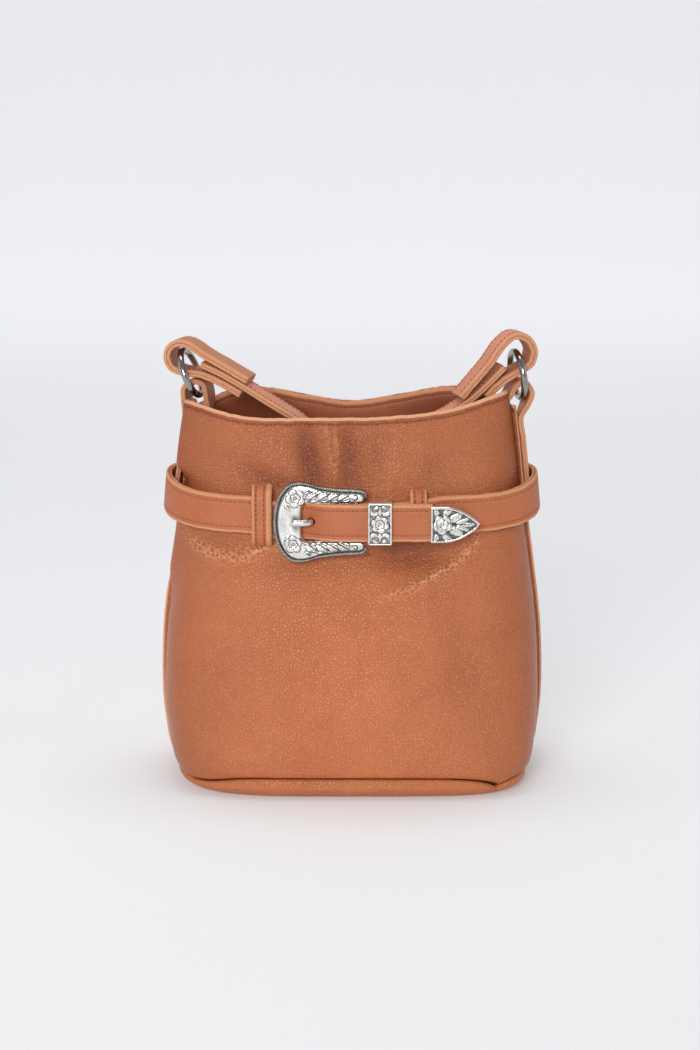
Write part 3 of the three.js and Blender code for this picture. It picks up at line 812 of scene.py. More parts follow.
def rim_facing(name, front, rim, nodes):
    """The facing inside the rim, with its own raw top edge; returns the run of its row of stitches."""
    steps = np.concatenate([np.linspace(0, 0.8, 18), np.linspace(0.82, 1, 14)])
    columns = np.arange(FIN_POINTS + FILLET_POINTS, COLUMNS - FIN_POINTS - FILLET_POINTS)
    top = rim(row_places(RIM_LEVEL)[columns, 0]) - 0.15 + wander(len(columns), 3, 0.12)
    heights = top - FACING_DROP * (1 - steps[:, None])
    full = np.repeat(heights[:, :1], COLUMNS, axis=1)
    full[:, columns] = heights
    grid = corner_swell(np.dstack([plan_at(full)[:, columns], heights]), front)
    normals = grid_normals(grid)
    x, y, z = grid[..., 0], grid[..., 1], grid[..., 2]
    gap = top - heights
    fade = smoothstep(-y, 4, 14)
    out = (front_shape if front else back_shape)(x, z)[0] * fade
    out = out + 0.9 * (1 - smoothstep(gap, 0, 7)) * fade
    outer = grid + normals * (out - LEATHER - 0.12)[..., None]
    dip = 0.3 * hump(gap, STITCH_GAP, 0.5) + 0.5 * smoothstep(-gap, -1.2, 0)
    inner = grid + normals * (out - LEATHER - FACING - 0.12 + dip)[..., None]
    hollow = 0.16 + 0.3 * smoothstep(gap, 3, 16)
    hollow = hollow + 0.55 * smoothstep(np.abs(x), 15, 55) * smoothstep(gap, 1, 6)
    raw = sheet_layer(heights.shape, 0.0, 1.0, smoothstep(-gap[::-1], -1.9, -1.4))
    shade = sheet_layer(heights.shape, 0.0, 0.0, hollow[::-1])
    mirror = np.array([1, 1 if front else -1, 1])
    sheet(name, sheet_rings(outer, inner, FACING_LIP) * mirror, nodes, "facing_leather",
          FACING_LEATHER, raw=raw, shade=shade)
    row = int(np.argmin(np.abs(gap[:, 0] - STITCH_GAP)))
    return inner[row] * mirror, -normals[row] * mirror


def base():
    """The base: a flat bottom that rolls up all round to the seam, tucked in under the panels."""
    count = 420
    angles = full_turn(count)
    c, s = np.cos(angles), np.sin(angles)

    def loop(height, inset, scale=1.0, lift=None):
        power = 2 / (SQUARENESS(height) + corner_extra(c, height) * smoothstep(-s, -0.3, 0.3))
        plan = squared_oval(c, s, power, (HALF_WIDTH(height) - inset) * scale,
                            (HALF_DEPTH(height) - inset) * scale)
        return np.column_stack([plan, np.ones(count) * (height if lift is None else lift)])

    edge = loop(SEAM_LEVEL, 0)
    seam = seam_height(edge[:, 0], edge[:, 1]) - 0.1
    outer = [loop(0, 0, scale, 0.0) for scale in (0.25, 0.5, 0.7, 0.85, 0.94, 0.98)]
    for share in np.linspace(0.03, 1, 18):
        tuck = 2.1 * (1 - np.sqrt(1 - np.clip((share - 0.45) / 0.55, 0, 1) ** 2 * 0.999))
        roll = 1.1 * np.sin(math.pi * np.clip(share * 1.15, 0, 1))
        outer.append(loop(seam * share, tuck - roll))
    inner = [loop(seam + 0.1, 2.1 + step) for step in (0.9, 2.0)]
    inner += [loop(seam * share + LEATHER * (1 - share), 3.4 + 0.6 * (1 - share))
              for share in (0.8, 0.5, 0.15)]
    inner += [loop(0, 3.6, scale, LEATHER) for scale in (0.97, 0.9, 0.7, 0.45, 0.25)]
    rings = np.array(outer + inner)
    flesh = np.repeat([0.0, 1.0], [len(outer) * count, len(inner) * count])
    make_mesh("base_leather", rings.reshape(-1, 3), loft_faces(len(rings), count), "bag",
              ["base_panel"], "body_leather", BODY, flesh=flesh, raw=np.zeros(len(flesh)))


def give_material(node_name, material):
    """Gives a CAD node that stays in the picture its material."""
    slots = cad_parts[node_name].data.materials
    slots.clear()
    slots.append(material)


front_run = panel("front_panel_leather", True, FRONT_RIM, ["front_panel"], front_shape)
back_run = panel("back_panel_leather", False, BACK_RIM, ["back_panel"], back_shape)
facing_runs = [rim_facing("front_facing_leather", True, FRONT_RIM, ["front_rim_facing"]),
               rim_facing("back_facing_leather", False, BACK_RIM, ["back_rim_facing"])]
base()
stitches("rim_stitching", [front_run, back_run, *facing_runs], "bag")
give_material("base_stiffener", BOARD)

# ------------------------------------------------------------------ belt and its loops


def belt_face(x):
    """Distance of the belt's inner face in front of the bag's middle."""
    share = np.minimum(np.abs(x) / BELT_HALF_WIDTH, 1)
    return BELT_HALF_DEPTH * (1 - share ** BELT_SQUARENESS) ** (1 / BELT_SQUARENESS)


def belt_height(y):
    """The height of the belt's middle, which dips towards the front."""
    return BELT_SIDE_HEIGHT - BELT_DIP * smoothstep(-y, 0, BELT_HALF_DEPTH)


def in_front(x, distance):
    return [x, -belt_face(x) - distance]


def belt_round():
    """The belt's middle in plan, from the right of the buckle round the back to the left of it."""
    start = -math.acos(0.52)
    angles = np.linspace(start, math.pi - start, 65)
    c, s = np.cos(angles), np.sin(angles)
    return squared_oval(c, s, 2 / BELT_SQUARENESS, BELT_HALF_WIDTH + BELT_MIDDLE,
                        BELT_HALF_DEPTH + BELT_MIDDLE)


def raised(plan, tail_start):
    """A line in plan laid on the belt's height, sagging where it holds the buckle.

    From `tail_start` on, the line is the belt's tail and sags all the way to its end.
    """
    x, y = plan.T
    front = smoothstep(-y, 25, 35)
    tail = np.arange(len(plan)) >= tail_start
    sag = np.where(tail, smoothstep(x, -57, -42), 1 - smoothstep(x, 31, 51)) * front
    return np.column_stack([plan, belt_height(y) - BUCKLE_SAG * sag])


def belt_lean(path):
    """The belt's width direction: its lower edge leans out at the sides and the back."""
    away = unit(path[:, :2] * [1, 2])
    share = BELT_FLARE * np.where(path[:, 1] < 0, smoothstep(np.abs(path[:, 0]), 55, 90), 1)
    return np.column_stack([-away * share[:, None], np.ones(len(path))])


BELT_LINES = (-6.7, 6.7)      # its two rows of stitches
SLOT_HEIGHT = 3.8
SLOT_REACH = 9.0              # how far the cutter goes to each side of y = SLOT_Y
SLOT_Y = -45


def cut_slot(piece, x, length):
    """Cuts a slot with round ends through a strap for the buckle's prong."""
    turns = full_turn(40)
    reach = length / 2 - SLOT_HEIGHT / 2
    px = x + np.sign(np.cos(turns)) * reach + np.cos(turns) * SLOT_HEIGHT / 2
    pz = BUCKLE_Z + np.sin(turns) * SLOT_HEIGHT / 2
    rings = [np.column_stack([px, np.full(40, place), pz])
             for place in (SLOT_Y - SLOT_REACH, SLOT_Y + SLOT_REACH)]
    cutter = make_mesh("slot_cutter", np.vstack(rings), loft_faces(2, 40), None,
                       raw=np.ones(80), flesh=np.zeros(80))
    tool = piece.modifiers.new("slot", "BOOLEAN")
    tool.object = cutter
    tool.operation = "DIFFERENCE"
    tool.solver = "EXACT"
    graph = bpy.context.evaluated_depsgraph_get()
    cut = bpy.data.meshes.new_from_object(piece.evaluated_get(graph))
    piece.modifiers.clear()
    piece.data = cut
    bpy.data.objects.remove(cutter)


def belt():
    """The belt: its outer layer folds round the crossbar, and the lining runs behind it."""
    middle = smooth([in_front(31, BELT_MIDDLE), in_front(42, BELT_MIDDLE), *belt_round(),
                     *[in_front(*pair) for pair in TAIL]], 520)
    tail_start = int(np.argmax(middle[:, 1])) + 1
    turn = 1.35
    back = -PIN[1] - turn - BELT_HALF_DEPTH
    angles = np.pi / 2 + np.linspace(0, np.pi, 9)
    bend = np.column_stack([PIN[0] + turn * np.cos(angles), PIN[1] + turn * np.sin(angles)])
    fold = [in_front(27, back), in_front(16, back), in_front(8, back), *bend,
            in_front(8, 4.5), in_front(14, 3.3), in_front(24, 3.1), middle[0]]
    outer_path = raised(np.vstack([smooth(fold, 70)[:-1], middle]), tail_start + 69)
    lining_path = raised(middle, tail_start)
    outer = band("belt_outer_leather", outer_path, belt_lean(outer_path), BELT_WIDTH - 0.2, 0.15, 1.75,
                 "bag", ["belt_outer"], "belt_leather", BELT, BELT_LINES, joined=-1)
    lining = band("belt_lining_leather", lining_path, belt_lean(lining_path), BELT_WIDTH + 0.3,
                  -1.55, -0.12, "bag", ["belt_lining"], "belt_leather", BELT, flesh=True, joined=1)
    cut_slot(outer, -21.9, 4.6)
    cut_slot(lining, -20.8, 6.2)
    runs = [band_stitches(lining_path, belt_lean(lining_path), line, 1.5) for line in BELT_LINES]
    stitches("belt_stitching", runs, "bag")


def panel_depth(x, height):
    """Distance of the bag's outer face from its middle, at x on the front."""
    power = SQUARENESS(height)
    share = np.abs(x) / HALF_WIDTH(height)
    return HALF_DEPTH(height) * (1 - share ** power) ** (1 / power)


def belt_loop(name, x, width, tilt, grooves, rise, reach, half, bare=None):
    """A leather loop sewn to the front panel that holds the belt.

    `rise` and `reach` are how far it goes above and below the belt's middle, `half` is half its
    thickness and `tilt` turns its width out of the front's plane.
    """
    centre = belt_height(-BELT_HALF_DEPTH)
    front = belt_face(x) + 5.3

    def wall(z, stand):
        return [panel_depth(x, z) + stand, z]

    route = [wall(centre + rise, 1.0), wall(centre + rise - 0.6, 2.8), [front - 1.2, centre + rise - 2.6],
             [front, centre + rise - 5.8], [front + 0.1, centre], [front, centre - reach + 5.8],
             [front - 1.2, centre - reach + 2.6], wall(centre - reach + 0.6, 3.2),
             wall(centre - reach, 1.6)]
    path = smooth([[x, -y, z] for y, z in route], 90)
    across = np.array([math.cos(tilt), math.sin(tilt), 0])
    band(f"{name}_belt_loop_leather", path, across, width, -half, half, "bag",
         [f"{name}_belt_loop"], "belt_leather", BELT, grooves, bare=bare)
    return [band_stitches(path, across, groove, half, 2.5) for groove in grooves]


belt()
loop_runs = belt_loop("left", x=-48.2, width=11, tilt=-0.17, grooves=(-3.0, 1.4), rise=14.8,
                      reach=15.4, half=1.7, bare=2.6)
loop_runs += belt_loop("right", x=35.5, width=9, tilt=0.1, grooves=(-2.1, 2.1), rise=12.8,
                       reach=11.8, half=1.2)
stitches("belt_loop_stitching", loop_runs, "bag")

# ------------------------------------------------------------------ engraving

# Every engraved motif is drawn in the flat plane of its piece, in millimetres.


class Relief:
    """Heights and oxide over a set of points, built up from motifs."""

    def __init__(self, x, z):
        self.x, self.z = x, z
        self.height = np.zeros(np.shape(x))
        self.dark = np.zeros(np.shape(x))

    def groove(self, points, width, depth, count=16):
        """A cut line that tapers to nothing at both ends."""
        curve = smooth(points, count) if len(points) > 2 else np.array(points, float)
        away, place = segment_distance(self.x, self.z, curve)
        taper = fading(place, 0.04, 0.4)
        cut = hump(away, 0, width * (0.5 + 0.5 * taper)) * taper
        self.height = self.height - depth * cut
        self.dark = np.maximum(self.dark, np.minimum(1.3 * cut, 1))

    def raise_shape(self, inside, height, outline):
        """A raised form from a signed distance (positive inside), with a dark edge round it."""
        lift = smoothstep(inside, -0.05, 0.4)
        self.height = np.maximum(self.height, height * lift)
        keep = smoothstep(inside, -0.02, 0.16)
        self.dark = self.dark * (1 - keep)
        self.dark = np.maximum(self.dark, outline * hump(inside, -0.18, 0.24))
        self.height = self.height - 0.12 * outline * hump(inside, -0.2, 0.2)

    def ribbon(self, points, width, height, outline=0.9):
        """A raised band along a curve, drawn to a point at both ends."""
        away, place = segment_distance(self.x, self.z, smooth(points, 20))
        self.raise_shape(width / 2 * fading(place, 0.05, 0.5) - away, height, outline)

    def flower(self, cx, cz, radius, petals, turn, height, outline=1.0):
        """A flower with lobed petals, cut partings and a seeded button in the middle."""
        dx, dz = self.x - cx, self.z - cz
        away = np.hypot(dx, dz)
        angle = np.arctan2(dz, dx) + turn
        lobe = np.abs(np.cos(angle * petals / 2)) ** 0.55
        edge = radius * (0.66 + 0.34 * lobe)
        cup = 0.55 + 0.45 * smoothstep(away / edge, 0.25, 0.85)
        self.raise_shape(edge - away, height * cup * (0.75 + 0.25 * lobe), outline)
        inside = smoothstep(edge - away, 0, 0.3)
        parting = (1 - smoothstep(lobe, 0.0, 0.42)) * smoothstep(away / radius, 0.25, 0.5) * inside
        vein = hump(np.abs(np.sin(angle * petals / 2)), 0, 0.16) * hump(away / radius, 0.45, 0.16)
        ring_cut = hump(away / radius, 0.27, 0.07)
        cut = np.clip(parting + 0.5 * vein * inside + ring_cut, 0, 1)
        self.height = self.height - 0.22 * cut
        self.dark = np.maximum(self.dark, 0.95 * cut)
        seeds = 0.5 + 0.5 * np.cos(angle * 6)
        button = 1 - smoothstep(away / radius, 0.12, 0.24)
        self.height = self.height + button * (0.16 - 0.06 * seeds)

    def leaf(self, x0, z0, x1, z1, width, curl, height, outline=0.9):
        """A pointed leaf from its stalk to its tip, bent sideways by `curl`."""
        length = math.hypot(x1 - x0, z1 - z0)
        ux, uz = (x1 - x0) / length, (z1 - z0) / length
        along = ((self.x - x0) * ux + (self.z - z0) * uz) / length
        aside = -(self.x - x0) * uz + (self.z - z0) * ux
        share = np.clip(along, 0, 1)
        aside = aside - curl * np.sin(np.pi * share)
        half = width / 2 * np.sin(np.pi * share ** 0.75) ** 0.85
        ends = np.minimum(along, 1 - along) * length
        inside = np.minimum(half - np.abs(aside), ends + 0.05)
        self.raise_shape(inside, height, outline)
        rib = hump(aside, 0, 0.09 + 0.02 * width) * smoothstep(inside, 0.05, 0.3)
        veins = np.abs(np.sin(share * length * 2.4 - np.abs(aside) * 2.2))
        veins = (1 - smoothstep(veins, 0, 0.35)) * smoothstep(inside, 0.1, 0.35) * smoothstep(width, 1.8, 2.6)
        self.height = self.height - 0.12 * np.maximum(rib, 0.5 * veins)
        self.dark = np.maximum(self.dark, np.maximum(0.75 * rib, 0.4 * veins))

    def curl(self, cx, cz, radius, start, turns, width, depth):
        """A spiral scroll."""
        t = np.linspace(0, 1, 14)
        angle = start + turns * 2 * math.pi * t
        r = radius * (1 - 0.78 * t)
        self.groove(np.column_stack([cx + r * np.cos(angle), cz + r * np.sin(angle)]), width, depth, 26)


def metal_piece(name, rings, body, nodes, dark, closed=False):
    """A silver piece lofted through rings, darkened as `dark` says: oxide in its recesses, painted shade on
    its sides and hidden faces.
    """
    make_mesh(name, rings.reshape(-1, 3), loft_faces(len(rings), rings.shape[1], closed), body, nodes,
              "buckle_metal", SILVER, dark=dark.ravel())


# ------------------------------------------------------------------ buckle frame

FRAME_UPPER = [[7.6, 13.6], [7.3, 15.4], [5.6, 16.6], [2, 17.1], [-8, 17.6], [-18.5, 18.9],
               [-24, 20.4], [-29, 20.9], [-33.5, 19.6], [-37.2, 15.8], [-39.6, 11.2], [-41.0, 5.8],
               [-41.5, 0]]
FRAME_INNER = [[4.6, 11.0], [3.4, 10.5], [-8, 10.3], [-18, 10.4], [-24.6, 10.2], [-26.4, 8.9],
               [-27, 6.4], [-27.1, 3], [-27.1, 0]]
FRAME_GROWTH = [1.015, 1.035]
FRAME_FLOWERS = [(-30.2, 13.2, 5.2, 0.5), (-31.4, -11.8, 4.8, -0.4)]
FRAME_BACK = 2.0
FRAME_WALL = [(-1.4, 0), (-0.6, 0.04), (0.4, 0.05), (1.3, 0.35)]   # depth, and how far it tucks in
FRAME_Y = -45.1
FRAME_LEAN = math.radians(0.8)


def both_halves(points, count):
    """A curve drawn for z >= 0, joined to its mirror image below."""
    upper = smooth(points, count)
    return np.vstack([upper, upper[-2::-1] * [1, -1]])


def arm_engraving(relief, sign):
    """Running leaves and scrolls along one arm of the frame."""
    z = 13.9 * sign

    def line(x, *steps):
        return [[x + dx, z + dz * sign] for dx, dz in steps]

    for x, size in ((-22.3, 1.0), (-16.4, 0.95), (-10.6, 0.9), (-5.0, 0.82)):
        relief.groove(line(x, (-2.8, 1.9), (-0.8, 2.3), (1.8, 1.3), (4.2, -0.6)), 0.36, 0.3)
        relief.groove(line(x, (-1.6, -2.2), (0.6, -2.3), (3.0, -1.5)), 0.3, 0.28)
        relief.leaf(x - 2.8, z - 1.7 * sign, x + 4.0, z + 1.9 * sign * size, 3.1 * size,
                    0.7 * sign, 0.45, 1.0)
        relief.ribbon(line(x, (-2.6, 1.9), (-1.0, 2.6), (1.0, 1.9)), 1.3, 0.36)
        relief.ribbon(line(x, (0.2, -2.5), (2.4, -2.3), (4.0, -1.2)), 1.3, 0.36)
    relief.curl(1.6, 13.8 * sign, 1.9, math.pi, 1.2 * sign, 0.36, 0.3)
    relief.curl(-22.4, 17.2 * sign, 1.3, 0.4, -1.1 * sign, 0.3, 0.28)


def frame_relief(x, z, ground):
    """The frame's engraving: leaves and scrolls on both arms, and a flower where each arm starts."""
    relief = Relief(x, z)
    relief.dark = ground
    for sign in (1, -1):
        arm_engraving(relief, sign)
        relief.leaf(-27.6, 9.4 * sign, -22.6, 12.6 * sign, 2.2, 0.4, 0.34, 1.0)
        relief.leaf(-35.8, 9.4 * sign, -33.2, 6.6 * sign, 1.7, 0.2, 0.28)
    for cx, cz, radius, turn in FRAME_FLOWERS:
        relief.flower(cx, cz, radius, 5, turn, 0.5)
        relief.flower(cx, cz, radius * 0.52, 5, turn + 0.6, 0.72)
    return relief


def frame_face(outer, inner, share):
    """The face between the frame's two outlines: its points, their height and their oxide."""
    face = outer[:, None] * (1 - share[:, None]) + inner[:, None] * share[:, None]
    x, z = face[..., 0], face[..., 1]
    width = np.linalg.norm(outer - inner, axis=1)[:, None]
    edge = width * share
    far = width * (1 - share)
    length = distances(outer)[:, None]
    ground = 0.3 * smoothstep(x, -27, -22) * smoothstep(edge, 2.6, 3.2) * smoothstep(far, 0.6, 1.2)
    relief = frame_relief(x, z, ground)
    plate = smoothstep(edge, 2.15, 3.0)
    dome = 0.55 * np.sin(np.pi * np.clip((edge - 2.2) / np.maximum(width - 2.2, 1), 0, 1)) ** 0.7
    bow = hump(z, 0, 6.4) * smoothstep(-x, 24, 30)
    dome = dome * (1 - bow) + bow * (0.65 - 0.75 * np.sin(np.pi * np.clip((edge - 2.6) / 10, 0, 1)))
    bead = np.sqrt(np.clip(1 - ((edge - 0.75) / 0.68) ** 2, 0, 1))
    rope = 0.72 + 0.28 * np.abs(np.sin(np.pi * (length - 0.6 * edge) / 1.05))
    height = 0.25 * plate + plate * (dome + relief.height) + 0.5 * bead * rope
    height = height - 0.4 * hump(edge, 1.85, 0.46)
    height = height - 0.9 * (1 - smoothstep(far, 0, 1.1)) - 0.25 * (1 - smoothstep(edge, 0, 0.3))
    dark = relief.dark * plate * (1 - 0.9 * bow)
    dark = np.maximum(dark, hump(edge, 1.8, 0.5))
    dark = np.maximum(dark, 0.5 + 0.5 * (1 - smoothstep(rope, 0.74, 0.92)) - smoothstep(edge, 1.3, 1.5))
    dark = np.maximum(dark, 0.75 * bow * smoothstep(edge, 6.5, 11.5))
    return face, height, dark


def buckle_frame():
    """The frame: a domed, engraved plate in the shape of a C, with a roped bead along its outside."""
    outer = both_halves(FRAME_UPPER, 330) * FRAME_GROWTH
    inner = both_halves(FRAME_INNER, 330)
    count = 64
    face, height, dark = frame_face(outer, inner, np.linspace(0, 1, count))
    front = -FRAME_BACK - height
    flat = np.ones(len(outer))

    def wall(curve, other):
        inward = unit(other - curve)
        return [(curve + inward * tuck, flat * depth) for depth, tuck in FRAME_WALL]

    columns = wall(outer, inner)[::-1]
    columns += [(face[:, k], front[:, k]) for k in range(count)]
    columns += wall(inner, outer)
    columns += [(outer * (1 - share) + inner * share, flat * FRAME_BACK) for share in (0.85, 0.5, 0.15)]
    rings = np.stack([np.column_stack([curve[:, 0], depth, curve[:, 1]]) for curve, depth in columns],
                     axis=1)
    shade = np.zeros(rings.shape[:2])
    # Painted shade on the frame's outer wall.
    shade[:, :len(FRAME_WALL)] = 0.85
    shade[:, len(FRAME_WALL):len(FRAME_WALL) + count] = dark
    rings[..., 1] += FRAME_Y + (rings[..., 0] - PIN[0]) * math.sin(FRAME_LEAN)
    rings[..., 2] += BUCKLE_Z
    metal_piece("buckle_frame_plate", rings, "buckle", ["buckle_frame"], shade)


def buckle_prong():
    """The prong's blade, which starts at its eye and swells to a rounded finger."""
    route = [[PIN[0] - 1.2, PIN[1] - 0.9], [-2, -44.5], [-6, -43.3], [-12, -41.7], [-17, -40.9],
             [-19.3, -41.1], [-21.1, -43.9], [-22.2, -47.3], [-24.4, -48.9], [-28.5, -49.5], [-32.6, -49.4]]
    path = smooth([[x, y, BUCKLE_Z] for x, y in route], 70)
    _, side, out = frame_along(path, (0, 0, 1))
    share = np.linspace(0, 1, len(path))
    round_tip = np.sqrt(np.clip(1 - np.clip((share - 0.95) / 0.05, 0, 1) ** 2, 0.003, 1))
    finger = smoothstep(share, 0.62, 0.69)
    wide = (1.1 + 0.7 * finger) * round_tip
    deep = (0.8 + 0.35 * finger) * round_tip
    turns = full_turn(28)
    rings = (path[:, None] + side[:, None] * (wide[:, None] * np.cos(turns))[..., None]
             + out[:, None] * (deep[:, None] * np.sin(turns))[..., None])
    dark = np.broadcast_to(0.6 * (1 - finger)[:, None], rings.shape[:2])
    metal_piece("buckle_prong_blade", rings, "prong", ["buckle_prong"], dark)


def prong_eye():
    """The prong's eye: a rolled ring on the crossbar."""
    section = [(1.38, -1.1), (2.3, -1.15), (2.5, -0.8), (2.5, 0.8), (2.3, 1.15), (1.38, 1.1), (1.36, 0)]
    eye = np.array([[[PIN[0] + r * math.cos(a), PIN[1] + r * math.sin(a), BUCKLE_Z + h]
                     for r, h in section] for a in full_turn(48)])
    metal_piece("buckle_prong_eye", eye, "prong", [], np.full(eye.shape[:2], 0.3), closed=True)


# ------------------------------------------------------------------ keeper and tip


def rounded_box_loop(half_y, half_z, corner, count):
    """A closed loop round a box with round corners, starting at the middle of its front (-Y) face."""
    turns = np.linspace(0, math.pi / 2, 7)
    corners = [(-1, 1), (1, 1), (1, -1), (-1, -1)]
    starts = [math.pi, math.pi / 2, 0, -math.pi / 2]
    points = [[-half_y, 0]]
    for (sy, sz), start in zip(corners, starts):
        for t in turns:
            angle = start - t
            points.append([sy * (half_y - corner) + corner * math.cos(angle),
                           sz * (half_z - corner) + corner * math.sin(angle)])
    points.append([-half_y, 0])
    return resample(np.array(points), count + 1)[:-1]


def keeper_relief(x, z):
    """A rosette, leaves about it and a scroll in each corner, on dark ground."""
    relief = Relief(x, z)
    relief.dark = np.full(x.shape, 0.6)
    for sz in (-1, 1):
        for sx in (-1, 1):
            relief.ribbon([[sx * 5.3, sz * 9.6], [sx * 4.9, sz * 6.6], [sx * 2.6, sz * 5.6],
                           [sx * 0.4, sz * 7.0]], 2.3, 0.45)
            relief.leaf(sx * 5.3, sz * 4.6, sx * 5.0, sz * 0.4, 1.7, 0, 0.4)
            relief.leaf(sx * 0.9, sz * 9.9, sx * 4.0, sz * 8.2, 1.9, 0.2, 0.4)
        relief.leaf(0, sz * 4.4, 0, sz * 9.6, 1.9, 0, 0.46)
    relief.flower(0, 0, 4.9, 6, 0.3, 0.55)
    relief.flower(0, 0, 2.5, 6, 0.8, 0.75)
    return relief


def keeper():
    """A metal band round the belt, engraved on its front."""
    low, high = (np.array(corner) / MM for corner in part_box("belt_keeper"))
    centre = (low + high) / 2 - [0, 0, BUCKLE_SAG]
    half = (high - low) / 2
    around = 360
    # Both loops lie a little behind the middle of the CAD's box, to clear the belt.
    outer = rounded_box_loop(half[1] - 0.3, half[2] - 0.15, 1.6, around) + [0.2, 0]
    inner = rounded_box_loop(half[1] - 1.3, half[2] - 1.2, 0.8, around) + [0.5, 0]
    xs = np.linspace(-half[0] + 0.15, half[0] - 0.15, 66)
    ring_count = len(xs)
    x = np.broadcast_to(xs[:, None], (ring_count, around))
    z = np.broadcast_to(outer[:, 1], x.shape)
    on_front = smoothstep(-np.broadcast_to(outer[:, 0], x.shape), half[1] - 1.3, half[1] - 0.6)
    relief = keeper_relief(x, z)
    frame_in = np.minimum(half[0] - np.abs(x), half[2] - 0.2 - np.abs(z))
    border = smoothstep(-frame_in, -1.15, -0.85)
    line = hump(frame_in, 1.35, 0.22)
    height = relief.height * (1 - border) + 0.5 * border - 0.15 * line
    dark = np.maximum(relief.dark * (1 - border), line * 0.9)
    out = on_front * (height - 0.12)
    edge_round = 0.35 * (1 - smoothstep(half[0] - np.abs(x), 0, 0.5))
    normal = unit(np.column_stack([np.gradient(outer[:, 1]), -np.gradient(outer[:, 0])]))
    normal = normal * np.sign(np.sum(normal * outer, axis=1, keepdims=True))
    skin = outer[None] + normal[None] * (out - edge_round)[..., None]

    def ring(x_place, loop):
        return np.column_stack([np.full(around, x_place), loop])

    rings = [ring(xs[k], skin[k]) for k in range(ring_count)]
    rings += [ring(half[0] - 0.05, inner + (outer - inner) * 0.5)]
    rings += [ring(place, inner) for place in np.linspace(half[0] - 0.3, -half[0] + 0.3, 12)]
    rings += [ring(-half[0] + 0.05, inner + (outer - inner) * 0.5)]
    rings = np.array(rings) + centre
    shade = np.zeros(rings.shape[:2])
    # Painted shade on the keeper's faces away from the front and on its inside.
    shade[:ring_count] = dark * on_front + 0.25 * (1 - on_front)
    shade[ring_count:] = 0.5
    metal_piece("keeper_band", rings, "keeper", ["belt_keeper"], shade, closed=True)


TIP_LENGTH = 26.5
TIP_HALF = 9.7
TIP_DROP = 0.8
TIP_POCKET = np.array([2.2, 9.2])   # half the pocket's depth and height


def tip_half_width(x):
    """Half the height of the tip: straight, then drawn to a point in a soft arch."""
    share = np.clip((x / TIP_LENGTH - 0.30) / 0.70, 0, 1)
    return TIP_HALF * (1 - share ** 1.75) ** 0.86


# The tip's leaves: stalk (x, z), point (x, z), width, curl and height.
TIP_LEAVES = [(6.6, 4.6, 13.2, 9.4, 3.4, 0.7, 0.42), (6.4, -4.8, 13.4, -9.0, 3.4, -0.7, 0.42),
              (3.6, 4.8, 2.2, 9.7, 2.9, -0.3, 0.4), (3.4, -4.8, 2.1, -9.7, 2.9, 0.3, 0.4),
              (9.8, 2.2, 17.6, 7.2, 4.6, -0.6, 0.5), (10.0, -2.2, 18.0, -6.4, 4.6, 0.7, 0.5),
              (13.4, 0.6, 21.2, 4.4, 3.0, -0.6, 0.48), (13.6, -0.6, 21.4, -3.8, 3.0, 0.6, 0.48),
              (16.6, 0.1, 25.0, 0.1, 2.6, 0.1, 0.55)]


def tip_relief(x, z):
    """A flower with leaves round it and along the stem to the point, on dark ground."""
    relief = Relief(x, z)
    relief.dark = np.full(x.shape, 0.7)
    for leaf in TIP_LEAVES:
        relief.leaf(*leaf)
    relief.groove([[10.5, 0.2], [14, 0.1], [18, 0.3], [22.5, 0]], 0.26, 0.14)
    relief.flower(6.4, 0.2, 5.4, 5, 0.35, 0.62)
    relief.flower(6.4, 0.2, 3.0, 5, 0.95, 0.82)
    return relief


def tip_face(x, z, half, slope):
    """The height and the oxide of the tip's front, inside a raised rim along its slanted outline."""
    relief = tip_relief(x, z)
    edge = (half[:, None] - np.abs(z)) / np.sqrt(1 + np.clip(slope, -2.2, 2.2)[:, None] ** 2)
    edge = np.minimum(edge, np.minimum(x, (TIP_LENGTH - x) * 0.9))
    rim = smoothstep(-edge, -1.35, -1.0)
    line = hump(edge, 1.6, 0.25)
    height = relief.height * (1 - rim) + 0.55 * rim - 0.1 * line
    height = height - 0.45 * (1 - smoothstep(edge, 0, 0.45))
    return height, np.maximum(relief.dark * (1 - rim), 0.9 * line)


